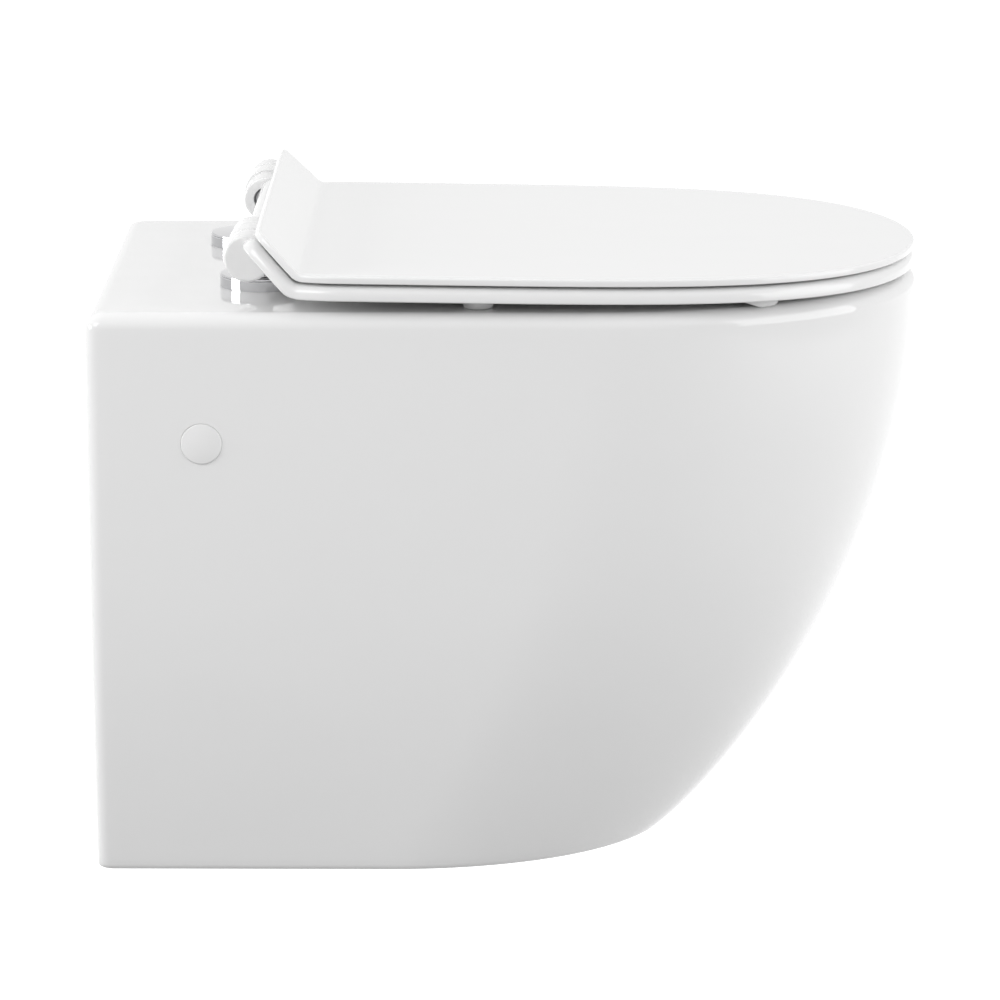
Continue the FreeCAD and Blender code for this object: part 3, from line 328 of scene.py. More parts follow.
def surface(name, grids, sharp=35):
    """An object from grids of points that meet along their edges. Faces point outwards, and edges sharper
    than an angle in degrees stay crisp."""
    points = []
    cells = []
    count = 0
    for grid in grids:
        points.append(grid.reshape(-1, 3))
        cells.append(quads(*grid.shape[:2]) + count)
        count += grid.shape[0] * grid.shape[1]
    mesh = bpy.data.meshes.new(name)
    mesh.from_pydata(np.vstack(points).tolist(), [], np.vstack(cells).tolist())
    work = bmesh.new()
    work.from_mesh(mesh)
    bmesh.ops.remove_doubles(work, verts=work.verts, dist=1e-6)
    bmesh.ops.dissolve_degenerate(work, edges=work.edges, dist=1e-7)
    bmesh.ops.recalc_face_normals(work, faces=work.faces)
    if work.calc_volume(signed=True) < 0:
        bmesh.ops.reverse_faces(work, faces=work.faces)
    work.to_mesh(mesh)
    work.free()
    mesh.shade_smooth()
    mesh.set_sharp_from_angle(angle=math.radians(sharp))
    piece = bpy.data.objects.new(name, mesh)
    bpy.context.scene.collection.objects.link(piece)
    return piece


def carve(piece, operation, grids, sharp=35):
    """Cut closed grids of points out of a piece, or weld them to it."""
    tool = surface("tool", grids)
    step = piece.modifiers.new("step", "BOOLEAN")
    step.operation = operation
    step.solver = "EXACT"
    step.object = tool
    bpy.context.view_layer.update()
    shaped = bpy.data.meshes.new_from_object(piece.evaluated_get(bpy.context.evaluated_depsgraph_get()))
    piece.modifiers.clear()
    piece.data = shaped
    bpy.data.objects.remove(tool)
    piece.data.shade_smooth()
    piece.data.set_sharp_from_angle(angle=math.radians(sharp))
    return piece


AXES = {"x": (0, 1, 2), "y": (1, 2, 0), "z": (2, 0, 1)}


def turned(axis, centre, distances, radii, count=64, way=1):
    """A profile of distances along an axis and radii from it, carried round the axis."""
    angle = np.linspace(0, 2 * math.pi, count + 1)[None, :]
    radii = np.asarray(radii, float)[:, None]
    distances = np.asarray(distances, float)[:, None]
    grid = np.empty((len(radii), count + 1, 3))
    run, first, second = AXES[axis]
    grid[..., run] = centre[run] + way * distances
    grid[..., first] = centre[first] + radii * np.cos(angle)
    grid[..., second] = centre[second] + radii * np.sin(angle)
    return grid


def rod(axis, centre, start, end, radius, count=64, way=1):
    """A closed plain cylinder along an axis."""
    return turned(axis, centre, (start, start, end, end), (0, radius, radius, 0), count, way)


def finish_piece(piece, body, slot, material, *replaced):
    """Give a piece its material and the body that it rides on, and hide the part's pieces that it stands for.
    """
    piece.data.materials.clear()
    piece.data.materials.append(material)
    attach(piece, body)
    if replaced:
        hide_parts(*replaced)
    return piece


def gloss(name, colour, roughness, ior=1.5, wave=0.0, wave_size=0.05, grain=0.0, grain_size=0.0008):
    """A glossy material: its colour drifts a little over the surface, a slow wave bends its reflections, and
    a fine grain breaks them."""
    material = bpy.data.materials.new(name)
    material.use_nodes = True
    tree = material.node_tree
    shader = tree.nodes["Principled BSDF"]
    shader.inputs["Roughness"].default_value = roughness
    shader.inputs["IOR"].default_value = ior
    place = tree.nodes.new("ShaderNodeTexCoord")
    drift = tree.nodes.new("ShaderNodeTexNoise")
    drift.inputs["Scale"].default_value = 1 / (3 * wave_size)
    drift.inputs["Detail"].default_value = 3
    tree.links.new(place.outputs["Object"], drift.inputs["Vector"])
    tint = tree.nodes.new("ShaderNodeValToRGB")
    tint.color_ramp.elements[0].color = [channel * (1 - DRIFT) for channel in colour[:3]] + [1]
    tint.color_ramp.elements[1].color = colour
    tree.links.new(drift.outputs["Fac"], tint.inputs["Fac"])
    tree.links.new(tint.outputs["Color"], shader.inputs["Base Color"])
    normal = None
    for strength, size in ((wave, wave_size), (grain, grain_size)):
        if not strength:
            continue
        noise = tree.nodes.new("ShaderNodeTexNoise")
        noise.inputs["Scale"].default_value = 1 / size
        noise.inputs["Detail"].default_value = 1
        tree.links.new(place.outputs["Object"], noise.inputs["Vector"])
        bump = tree.nodes.new("ShaderNodeBump")
        bump.inputs["Strength"].default_value = strength
        bump.inputs["Distance"].default_value = size * BUMP_SHARE
        tree.links.new(noise.outputs["Fac"], bump.inputs["Height"])
        if normal is not None:
            tree.links.new(normal, bump.inputs["Normal"])
        normal = bump.outputs["Normal"]
    if normal is not None:
        tree.links.new(normal, shader.inputs["Normal"])
    return material


# The outside, in rows from the middle of the underside, up the skirt, over the rim and down into the bowl.
turn = steps(0, math.pi / 2, ROUND_STEPS // 2 + 1)
foot_level = BOTTOM_LEVEL + BASE_ROUND * (1 - np.cos(turn))
foot_inset = BASE_ROUND * (1 - np.sin(turn))
skirt_level = steps(BOTTOM_LEVEL + BASE_ROUND, RIM_LEVEL - RIM_ROUND, SKIRT_STEPS + 1)[1:-1]
turn = steps(0, math.pi / 2, ROUND_STEPS + 1)
rim_level = RIM_LEVEL - RIM_ROUND * (1 - np.sin(turn))
rim_inset = RIM_ROUND * (1 - np.cos(turn))
level = np.vstack([foot_level, skirt_level, rim_level])
inset = np.vstack([foot_inset, 0 * skirt_level, rim_inset])
over = np.clip((level - (RIM_LEVEL - DECK_ROUND)) / DECK_ROUND, 0, 1)
under = np.clip((BOTTOM_LEVEL + BASE_ROUND - level) / BASE_ROUND, 0, 1)
back = DECK_ROUND * (1 - np.sqrt(1 - over ** 2)) + BASE_ROUND * (1 - np.sqrt(1 - under ** 2))
outside = d_rows(level, half_width(level) - inset, straight_reach(level), front_reach(level) - inset, back,
                 WALL_ROUND)
at_wall = np.flatnonzero((back < 1e-9).ravel())
bearing = np.arctan2(outside[-1, :, 1] + BOWL_MIDDLE, outside[-1, :, 0])[None, :]
turn = steps(0, math.pi / 2, ROUND_STEPS + 1)
lip = oval_rows(RIM_LEVEL - LIP_ROUND * (1 - np.cos(turn)), bearing,
                MOUTH_HALF + LIP_ROUND * (1 - np.sin(turn)), BOWL_MIDDLE,
                MOUTH_FRONT + LIP_ROUND * (1 - np.sin(turn)), MOUTH_REAR + LIP_ROUND * (1 - np.sin(turn)))
deck = between(outside[-1], lip[0], (0.25, 0.5, 0.75))
end_share = 1 - SUMP_ROUND / (SUMP_DEPTH - DECK_WALL)
bowl = bowl_rows(steps(0, end_share, BOWL_STEPS), bearing, 0)
underside = towards_middle(outside[0])[::-1]
bowl_floor = bowl_end(steps(end_share, end_share, 1), bearing, 0, SUMP_ROUND)
outside = np.vstack([underside, outside, deck, lip, bowl, bowl_floor])
first, last = at_wall[0] + len(underside), at_wall[-1] + len(underside)

# The inside, in rows from the middle of its floor, up behind the skirt, under the deck and down round the
# bowl.
level = steps(BOTTOM_LEVEL + BOTTOM_WALL, RIM_LEVEL - DECK_WALL, last - first + 1)
tip = front_reach(level - BOTTOM_WALL) - SKIRT_WALL
straight = np.minimum(straight_reach(level), tip - SKIRT_WALL)
inside = d_rows(level, half_width(level) - SKIRT_WALL, straight, tip, 0, 0)
bearing_inside = np.arctan2(inside[-1, :, 1] + BOWL_MIDDLE, inside[-1, :, 0])[None, :]
bowl = bowl_rows(steps(0, end_share, BOWL_STEPS), bearing_inside, BOWL_WALL)
floor_inside = towards_middle(inside[0])[::-1]
under_deck = between(inside[-1], bowl[0], (0.25, 0.5, 0.75))
bowl_floor = bowl_end(steps(end_share, end_share, 1), bearing_inside, BOWL_WALL, SUMP_ROUND)
inside = np.vstack([floor_inside, inside, under_deck, bowl, bowl_floor])
first_inside = len(floor_inside)
last_inside = first_inside + last - first


def open_back(grid, first, last):
    """The parts of a closed grid that stay when the cells on the wall plane are left out."""
    return [grid[:first + 1], grid[first:last + 1, :U_COLUMNS], grid[last:]]


def back_edge(grid, first, last):
    """The outline of that opening: along its top, down one side, along its bottom and up the other."""
    top = np.vstack([grid[last, U_COLUMNS - 1:], grid[last, :1]])
    bottom = np.vstack([grid[first, U_COLUMNS - 1:], grid[first, :1]])
    right = grid[first:last + 1, 0]
    left = grid[first:last + 1, U_COLUMNS - 1]
    return np.vstack([top, right[::-1], bottom[::-1], left])


rear_face = between(
    back_edge(outside, first, last), back_edge(inside, first_inside, last_inside), (0, 0.5, 1))
pan = surface("pan_shell", [
    *open_back(outside, first, last), *open_back(inside, first_inside, last_inside), rear_face])

# The holes: two for the seat's bolts, a stepped one on each side for its fixing screw, and two in the bowl.
# Behind each stepped hole the skirt has a boss.
SCREW_LEVEL = 0.0
SCREW_PLACE = -0.070
SCREW_HOLE = 0.006
SCREW_HOLE_REACH = 0.03  # the reaches are measured from the outside of the skirt inwards
BOSS_START = 0.004
BOSS_REACH = 0.017
BOSS_RADIUS = 0.020
BOSS_EDGE = 0.0015
CAP_RADIUS = 0.0126
CAP_GROOVE = 0.0001
CAP_RECESS = 0.001
ACCESS_RADIUS = 0.011
ACCESS_DEPTH = 0.008
TOOL_PAST = 0.005  # how far a cutting tool stands out of the surface
SEAT_BOLT = (0.0775, -0.09585)
SEAT_BOLT_HOLE = 0.0075
DECK_CUT = 0.02
THROAT_CUT = (-0.250, -0.196)
FLUSH_CUT = (-0.250, -0.172)
THROAT_RADIUS = 0.028
THROAT_STEP = 0.003  # the throat starts this much above the floor of the bowl
FLUSH_RADIUS = 0.020
INLET_LEVEL = 0.035
throat_level = RIM_LEVEL - SUMP_DEPTH + THROAT_STEP + THROAT_RADIUS
FIX_HALF = half_width(SCREW_LEVEL)
bosses = []
holes = []
for side in (-1, 1):
    at_screw = (0, SCREW_PLACE, SCREW_LEVEL)
    # Each profile is a list of reaches and radii.
    boss = ((BOSS_START, 0), (BOSS_START, BOSS_RADIUS), (BOSS_REACH - BOSS_EDGE, BOSS_RADIUS),
            (BOSS_REACH, BOSS_RADIUS - BOSS_EDGE), (BOSS_REACH, 0))
    stepped = ((SCREW_HOLE_REACH, 0), (SCREW_HOLE_REACH, SCREW_HOLE), (ACCESS_DEPTH, SCREW_HOLE),
               (ACCESS_DEPTH, ACCESS_RADIUS), (CAP_RECESS, ACCESS_RADIUS),
               (CAP_RECESS, CAP_RADIUS + CAP_GROOVE), (-TOOL_PAST, CAP_RADIUS + CAP_GROOVE),
               (-TOOL_PAST, 0))
    for profile, tools in ((boss, bosses), (stepped, holes)):
        reaches, radii = zip(*profile)
        tools.append(turned("x", at_screw, FIX_HALF - np.array(reaches), radii, way=side))
    at_bolt = (side * SEAT_BOLT[0], SEAT_BOLT[1], 0)
    holes.append(rod("z", at_bolt, RIM_LEVEL - DECK_CUT, RIM_LEVEL + TOOL_PAST, SEAT_BOLT_HOLE, 48))
holes.append(rod("y", (0, 0, throat_level), *THROAT_CUT, THROAT_RADIUS))
holes.append(rod("y", (0, 0, INLET_LEVEL), *FLUSH_CUT, FLUSH_RADIUS))
carve(pan, "UNION", bosses)
carve(pan, "DIFFERENCE", holes)
glaze = gloss("white_glaze", GLAZE_WHITE, 0.03, ior=1.54, wave=0.35, wave_size=0.07, grain=0.02,
              grain_size=0.004)
finish_piece(pan, "pan", "glazed_ceramic", glaze, "ceramic_pan", "bowl")


# ---- the trapway and the flush inlet ----
# Both are part of the same firing behind the bowl: a pipe that climbs in an S to the outlet spigot, and a
# short horn for the flush pipe. They are cast hollow and glazed like the rest.

TRAP_RADIUS = 0.028
TRAP_WALL = 0.010
TRAP_REAR = 0.075
OUTLET_LEVEL = -0.100
OUTLET_RADIUS = 0.051
OUTLET_WALL = 0.008
PORT_SETBACK = 0.005
OUTLET_LENGTH = 0.055
INLET_RADIUS = 0.0275
INLET_WALL = 0.010
INLET_LENGTH = 0.045
TRAP_BEND = (OUTLET_LEVEL - throat_level) / 2
BEND_STEPS = 24
NECK_STEPS = 8
PIPE_START = -0.215  # inside the bowl's wall, where the pipe is cut to the wall
STRAIGHT_RUN = 0.01
SPIGOT_START = 0.002
HORN_START = (-0.2, -0.16)
HORN_EDGE = (0.002, 0.0015)  # along the horn and across it
HORN_SINK = 0.003  # into the deck


def wall_of_bowl(x, level):
    """The middle of the bowl's rear wall, straight behind a point at some level."""
    grow = BOWL_WALL / 2
    top = RIM_LEVEL - DECK_WALL
    share = np.clip((level - top) / (RIM_LEVEL - SUMP_DEPTH - grow - top), 0, 1)
    size = SUMP_SHARE + (1 - SUMP_SHARE) * (1 - share ** BOWL_POWER)
    middle = BOWL_MIDDLE + (SUMP_MIDDLE - BOWL_MIDDLE) * share
    across = np.clip(1 - (x / (MOUTH_HALF * size + grow)) ** 2, 0, 1)
    return -middle + (MOUTH_REAR * size + grow) * np.sqrt(across)


def piped(heading, place_y, place_z, radius, count=72):
    """Circles of a radius, one at each place of a path in the middle plane, square to its heading."""
    angle = np.linspace(0, 2 * math.pi, count + 1)[None, :]
    x = radius * np.cos(angle)
    y = place_y - radius * np.sin(angle) * np.sin(heading)
    z = place_z + radius * np.sin(angle) * np.cos(heading)
    return np.stack([x, y, z], axis=-1)


def pipe_from_bowl(heading, place_y, place_z, radius):
    """Such circles, the first of which is moved along the pipe onto the bowl's rear wall."""
    rows = piped(heading, place_y, place_z, radius)
    rows[0, :, 1] = wall_of_bowl(rows[0, :, 0], rows[0, :, 2])
    return rows


turn = steps(0, math.pi / 2, BEND_STEPS)
neck = steps(0, 1, NECK_STEPS)
heading = np.vstack([steps(0, 0, 2), turn, turn[::-1], 0 * neck, steps(0, 0, 2)])
first_y = -TRAP_REAR - 2 * TRAP_BEND
outlet_start = PORT_SETBACK + OUTLET_LENGTH
path_y = np.vstack([
    steps(PIPE_START, first_y - STRAIGHT_RUN, 2), first_y + TRAP_BEND * np.sin(turn),
    -TRAP_REAR - TRAP_BEND * np.sin(turn[::-1]), -TRAP_REAR + (TRAP_REAR - outlet_start) * neck,
    steps(-outlet_start + SPIGOT_START, -PORT_SETBACK, 2),
])
path_z = np.vstack([
    steps(throat_level, throat_level, 2), throat_level + TRAP_BEND * (1 - np.cos(turn)),
    OUTLET_LEVEL - TRAP_BEND * (1 - np.cos(turn[::-1])), OUTLET_LEVEL + 0 * neck,
    steps(OUTLET_LEVEL, OUTLET_LEVEL, 2),
])
flare = np.vstack([steps(0, 0, 2), 0 * turn, 0 * turn, neck ** 2 * (3 - 2 * neck), steps(1, 1, 2)])
outer = TRAP_RADIUS + TRAP_WALL + (OUTLET_RADIUS - TRAP_RADIUS - TRAP_WALL) * flare
inner = TRAP_RADIUS + (OUTLET_RADIUS - OUTLET_WALL - TRAP_RADIUS) * flare
trap_outside = pipe_from_bowl(heading, path_y, path_z, outer)
trap_inside = pipe_from_bowl(heading, path_y, path_z, inner)
trap = surface("waste_trap", [np.vstack([trap_outside, trap_inside[::-1], trap_outside[:1]])])
finish_piece(trap, "pan", "glazed_ceramic", glaze, "trapway")

horn_y = np.array([*HORN_START, -PORT_SETBACK - HORN_EDGE[0], -PORT_SETBACK])[:, None]
horn_outer = INLET_RADIUS + INLET_WALL - np.array([0, 0, 0, HORN_EDGE[1]])[:, None]
socket_end = -PORT_SETBACK - INLET_LENGTH
bore_y = np.array([*HORN_START, socket_end, socket_end, -PORT_SETBACK])[:, None]
bore = np.array([FLUSH_RADIUS, FLUSH_RADIUS, FLUSH_RADIUS, INLET_RADIUS, INLET_RADIUS])[:, None]
horn_outside = pipe_from_bowl(0 * horn_y, horn_y, INLET_LEVEL + 0 * horn_y, horn_outer)
horn_inside = pipe_from_bowl(0 * bore_y, bore_y, INLET_LEVEL + 0 * bore_y, bore)
horn_outside[..., 2] = np.minimum(horn_outside[..., 2], RIM_LEVEL - DECK_WALL + HORN_SINK)
horn = surface("flush_horn", [np.vstack([horn_outside, horn_inside[::-1], horn_outside[:1]])])
finish_piece(horn, "pan", "glazed_ceramic", glaze, "flush_inlet")


# ---- the side caps ----
# Moulded plastic discs, slightly domed, pressed into the access holes of the two side screws. Each sits in a
# shallow seat in the skirt with a hairline gap round it.

CAP_RISE = 0.0019
CAP_EDGE = 0.0011
CAP_RIM_RISE = 0.0007  # the dome's height at its edge
CAP_PLUG = 0.004  # how deep the cap's plug goes into the hole
CAP_PLUG_GAP = 0.0001
CAP_WHITE = (0.86, 0.86, 0.86, 1)

cap_material = gloss("cap_moulding", CAP_WHITE, 0.16, ior=1.5, grain=0.03, grain_size=0.002)
turn = np.linspace(0, math.pi / 2, 9)
radii = np.linspace(CAP_RADIUS - CAP_EDGE, 0, 14)
dome = FIX_HALF + CAP_RISE - (CAP_RISE - CAP_RIM_RISE) * (radii / (CAP_RADIUS - CAP_EDGE)) ** 2
edge_height = dome[0] - CAP_EDGE * (1 - np.sin(turn))
edge_radius = CAP_RADIUS - CAP_EDGE * (1 - np.cos(turn))
plug_radius = ACCESS_RADIUS - CAP_PLUG_GAP
plug_end = FIX_HALF - CAP_PLUG
cap_seat = FIX_HALF - CAP_RECESS
distances = np.concatenate([[plug_end, plug_end, cap_seat, cap_seat], edge_height, dome[1:]])
profile = np.concatenate([[0, plug_radius, plug_radius, CAP_RADIUS], edge_radius, radii[1:]])
for name, side in (("left", -1), ("right", 1)):
    disc = turned("x", (0, SCREW_PLACE, SCREW_LEVEL), distances, profile, 96, side)
    cap = surface("screw_cap_" + name, [disc])
    finish_piece(cap, "pan", "cap_plastic", cap_material, "side_cap_" + name)


# ---- the seat and the lid: the outline and the bend that both share ----
# Both are moulded from a hard resin. Each is a level plate whose rear end turns up by 45 degrees in front
# of the hinge. They are drawn flat and then bent, and the closed pair slopes down a little to the front.

HINGE_Y = -0.0976
HINGE_Z = 0.1096
LEAF_TILT = math.radians(0.75)
LEAF_HALF = 0.1857
LEAF_REACH = 0.511 + HINGE_Y
LEAF_WIDEST = 0.150 + HINGE_Y
FLANGE_HALF = 0.165
FLANGE_CORNER = 0.0062
CREASE_DROP = 0.00475
FLANGE_OFFSET = 0.0196
CREASE_ROUND = 0.006
LID_THICK = 0.0045
LEAF_GAP = 0.0018
SEAT_THICK = 0.009
LID_RISE = 0.0086
SEAT_RISE = 0.0082
LEAF_POWER = 4.85
LEAF_ROOT = 1.9
SIDE_BULGE = 0.9  # how early the sides come near the full width
HALF_RIGHT = math.sqrt(0.5)
BEND_ANGLE = math.pi / 4
BEND_TANGENT = CREASE_ROUND * math.tan(BEND_ANGLE / 2)
OUTLINE_STEPS = 150
TURN_WEIGHT = 0.06  # the length that a radian of turning counts for
ROW_STEPS = 40
RESIN_WHITE = (0.85, 0.85, 0.85, 1)


class Leaf:
    """A bent plate. Its top lies a drop under the hinge axis, the top of its flange an offset in front of the
    axis, and the flange rises past the axis. flat_end is where the two planes would meet."""

    def __init__(self, drop, offset, rise):
        self.drop = drop
        self.flat_end = -(drop + offset / HALF_RIGHT)
        self.arc = BEND_ANGLE * CREASE_ROUND
        self.flange = drop / HALF_RIGHT + offset + rise - BEND_TANGENT
        self.end = self.arc + self.flange

    def bent(self, x, s, depth):
        """Where a point of the flat sheet goes. s counts from the start of the bend, and is negative to the
        front. The bend is an arc of 45 degrees about a line above the plate, and depth is measured square to
        the top."""
        start = self.flat_end - BEND_TANGENT
        angle = np.clip(s / CREASE_ROUND, 0, BEND_ANGLE)
        past = np.maximum(s - self.arc, 0)
        before = np.minimum(s, 0)
        y = start + before + CREASE_ROUND * np.sin(angle) + past * HALF_RIGHT
        z = -self.drop + CREASE_ROUND * (1 - np.cos(angle)) + past * HALF_RIGHT
        y = y + depth * np.sin(angle)
        z = z - depth * np.cos(angle)
        return on_hinge(x + 0 * y, y, z + 0 * x)

    def plan(self, s):
        """The distance in front of the hinge axis of a point of the sheet's top."""
        start = self.flat_end - BEND_TANGENT
        angle = np.clip(s / CREASE_ROUND, 0, BEND_ANGLE)
        past = np.maximum(s - self.arc, 0)
        return -(start + np.minimum(s, 0) + CREASE_ROUND * np.sin(angle) + past * HALF_RIGHT)

    def side(self, s):
        """Half the width up to the widest place: a parabola in the distance from the hinge."""
        share = self.plan(s) / LEAF_WIDEST
        return FLANGE_HALF + (LEAF_HALF - FLANGE_HALF) * (2 * SIDE_BULGE * share * (1 - share) + share ** 2)

    def outline(self):
        """The right half of the sheet's outline, from the end of the flange round to the tip: a small corner,
        the side, and a superellipse round the tip."""
        tip = -(LEAF_REACH + self.flat_end - BEND_TANGENT)
        widest = -(LEAF_WIDEST + self.flat_end - BEND_TANGENT)
        turn = np.linspace(0, math.pi / 2, 7)
        corner_s = self.end - FLANGE_CORNER * (1 - np.cos(turn))
        corner_x = self.side(corner_s) - FLANGE_CORNER * (1 - np.sin(turn))
        side_s = np.linspace(self.end - FLANGE_CORNER, widest, 60)[1:]
        side_x = self.side(side_s)
        share = np.sin(np.linspace(0, math.pi / 2, OUTLINE_STEPS))[1:]
        front_x = LEAF_HALF * (1 - share ** LEAF_POWER) ** (1 / LEAF_ROOT)
        front_s = widest + (tip - widest) * share
        x, s = even_out(np.concatenate([corner_x[-1:], side_x, front_x]),
                        np.concatenate([corner_s[-1:], side_s, front_s]))
        return np.concatenate([corner_x[:-1], x]), np.concatenate([corner_s[:-1], s])

    def edge(self, inset):
        """That outline moved inwards by an inset."""
        x, s = self.outline()
        run_x, run_s = np.gradient(x), np.gradient(s)
        run_x[0], run_s[0] = 1, 0
        run_x[-1], run_s[-1] = -1, 0
        length = np.hypot(run_x, run_s)
        return np.maximum(x + inset * run_s / length, 0), s - inset * run_x / length


def even_out(x, s):
    """The same line with points at even steps, closer together where it turns, by length plus turning."""
    run = np.hypot(np.diff(x), np.diff(s))
    heading = np.unwrap(np.arctan2(np.diff(s), np.diff(x)))
    turning = np.abs(np.diff(heading, prepend=heading[0]))
    weight = np.concatenate([[0], np.cumsum(run + TURN_WEIGHT * turning)])
    even = np.linspace(0, weight[-1], OUTLINE_STEPS + 60)
    return np.interp(even, weight, x), np.interp(even, weight, s)


def on_hinge(x, y, z):
    """From the frame of the hinge axis to that of the toilet, turned by the slope of the closed leaves."""
    down, along = math.sin(LEAF_TILT), math.cos(LEAF_TILT)
    return np.stack([x, HINGE_Y + y * along - z * down, HINGE_Z + y * down + z * along], axis=-1)


def sheet(leaf, x, s, depth):
    """A whole face of a leaf: rows across it, from edge to edge."""
    across = np.linspace(-1, 1, ROW_STEPS + 1)[None, :]
    return leaf.bent(x[:, None] * across, s[:, None], depth)


def rim_loop(leaf, inset, depth):
    """A loop along the whole edge of a leaf at some inset and depth, the straight rear edge first."""
    x, s = leaf.edge(inset)
    across = np.linspace(-1, 1, ROW_STEPS + 1)
    return leaf.bent(np.concatenate([x[0] * across, x[1:], -x[-2::-1]]),
                     np.concatenate([s[0] + 0 * across, s[1:], s[-2::-1]]), depth)


def edge_profile(thick, top, bottom, count=7):
    """Insets and depths down the edge of a plate whose upper and lower edges are rounded."""
    turn = np.linspace(0, math.pi / 2, count)
    inset = np.concatenate([top * (1 - np.sin(turn)), bottom * (1 - np.cos(turn))])
    depth = np.concatenate([top * (1 - np.cos(turn)), thick - bottom * (1 - np.sin(turn))])
    return inset, depth


# ---- the lid ----
# A thin plate of the resin with a softly rounded edge. Two knuckles are moulded on under its flange, and
# each is joined to it by a short web.

LID_TOP_ROUND = 0.0016
LID_UNDER_ROUND = 0.0008
KNUCKLE_RADIUS = 0.0146
LID_KNUCKLE = (0.1044, 0.1294)
LID_KNUCKLE_EDGE = 0.0003
LID_BORE = (0.10, 0.135)
SHAFT_RADIUS = 0.004
BUSH_RADIUS = 0.006

resin = gloss("white_resin", RESIN_WHITE, 0.075, ior=1.5, wave=0.12, wave_size=0.09, grain=0.015,
              grain_size=0.003)
lid_leaf = Leaf(CREASE_DROP, FLANGE_OFFSET, LID_RISE)
inset, depth = edge_profile(LID_THICK, LID_TOP_ROUND, LID_UNDER_ROUND)
loops = np.stack([rim_loop(lid_leaf, *at) for at in zip(inset, depth)])
lid = surface("lid_plate", [sheet(lid_leaf, *lid_leaf.edge(inset[0]), 0), loops,
                            sheet(lid_leaf, *lid_leaf.edge(inset[-1]), LID_THICK)])


def knuckle(start, end, side, reach, spread, edge):
    """A barrel about the hinge axis, drawn out to the flange: a circle, and towards the flange a block as
    wide as spread on both sides and as long as reach. Its two ends have a rounded edge."""
    angle = np.linspace(0, 2 * math.pi, 121)
    towards = np.cos(angle - 3 * math.pi / 4)
    off = np.sin(angle - 3 * math.pi / 4)
    circle = KNUCKLE_RADIUS + 0 * angle
    block = np.minimum(reach / np.maximum(towards, 1e-6), spread / np.maximum(np.abs(off), 1e-6))
    radius = np.where(towards > 0, np.maximum(circle, block), circle)
    turn = np.linspace(0, math.pi / 2, 6)
    drawn = np.concatenate([edge * (1 - np.sin(turn)), edge * (1 - np.cos(turn))])
    place = np.concatenate([start + edge * (1 - np.cos(turn)), end - edge * (1 - np.sin(turn))])
    rows = radius[None, :] - drawn[:, None]
    rows = np.vstack([0 * rows[:1], rows, 0 * rows[:1]])
    place = np.concatenate([place[:1], place, place[-1:]])[:, None]
    return on_hinge(side * place + 0 * rows, rows * np.cos(angle), rows * np.sin(angle))


def hinge_bore(start, end, side, radius):
    """A rod on the hinge axis, to cut a hole."""
    return rod("x", (0, HINGE_Y, HINGE_Z), start, end, radius, way=side)


FLANGE_REACH = FLANGE_OFFSET - LID_THICK / 2
WEB_SPREAD = 0.0061
knuckles = [knuckle(*LID_KNUCKLE, side, FLANGE_REACH, WEB_SPREAD, LID_KNUCKLE_EDGE) for side in (-1, 1)]
carve(lid, "UNION", knuckles)
carve(lid, "DIFFERENCE", [hinge_bore(*LID_BORE, -1, SHAFT_RADIUS), hinge_bore(*LID_BORE, 1, BUSH_RADIUS)])
finish_piece(lid, "lid", "seat_resin", resin, "lid")


# ---- the seat ----
# A thicker ring of the same resin. Its upper edge is well rounded where the lid leaves it free, and its
# flange is cut away round the hinge barrels. Two closed knuckles at its ends hold the hinge shafts.

SEAT_TOP_ROUND = 0.0058
SEAT_UNDER_ROUND = 0.0012
RING_ROUND = 0.004  # round the upper edge of the opening
SEAT_KNUCKLE = (0.1298, 0.1538)
KNUCKLE_END = 0.004  # the closed end's wall
SEAT_KNUCKLE_EDGE = 0.002
NO_BLOCK = 0.001  # the reach and spread of a knuckle that is a plain barrel
BORE_PAST = 0.001  # how far a bore's tool stands out of the knuckle
FACE_ROWS = 12
SEAT_OPENING = (0.1117, 0.305, 0.142, 0.100)  # half width, wall to middle, front and rear reach
NOTCH = (0.0744, 0.1292)
NOTCH_GAP = 0.0006
RING_START = -0.030  # the straight row where the rear of the seat passes into the ring

seat_leaf = Leaf(CREASE_DROP + LID_THICK + LEAF_GAP, FLANGE_OFFSET - LID_THICK - LEAF_GAP, SEAT_RISE)
half, middle, front, rear = SEAT_OPENING
opening_middle = -(middle + HINGE_Y) - (seat_leaf.flat_end - BEND_TANGENT)
across = np.linspace(-1, 1, ROW_STEPS + 1)
split = int(np.argmax(seat_leaf.edge(0)[1] < RING_START))


def ring_loop(inset):
    """The outline in front of the straight row at which the ring starts, that row first."""
    x, s = seat_leaf.edge(inset)
    return (np.concatenate([x[split] * across, x[split + 1:], -x[-2:split - 1:-1]]),
            np.concatenate([s[split] + 0 * across, s[split + 1:], s[-2:split - 1:-1]]))


loop_x, loop_s = ring_loop(0)
ring_bearing = np.arctan2(loop_s - opening_middle, loop_x)


def opening_loop(grow):
    """The opening's edge on the flat sheet: two half ellipses grown by an amount."""
    reach = np.where(np.sin(ring_bearing) < 0, front, rear) + grow
    radius = 1 / np.sqrt((np.cos(ring_bearing) / (half + grow)) ** 2 + (np.sin(ring_bearing) / reach) ** 2)
    return radius * np.cos(ring_bearing), opening_middle + radius * np.sin(ring_bearing)


def ring_face(inset, grow, depth):
    """A face of the seat: straight rows over the flange, then rows from the outline to the opening."""
    x, s = seat_leaf.edge(inset)
    outer_x, outer_s = ring_loop(inset)
    inner_x, inner_s = opening_loop(grow)
    shares = steps(0, 1, FACE_ROWS)
    ring_x = outer_x * (1 - shares) + inner_x * shares
    ring_s = outer_s * (1 - shares) + inner_s * shares
    return [sheet(seat_leaf, x[:split + 1], s[:split + 1], depth), seat_leaf.bent(ring_x, ring_s, depth)]


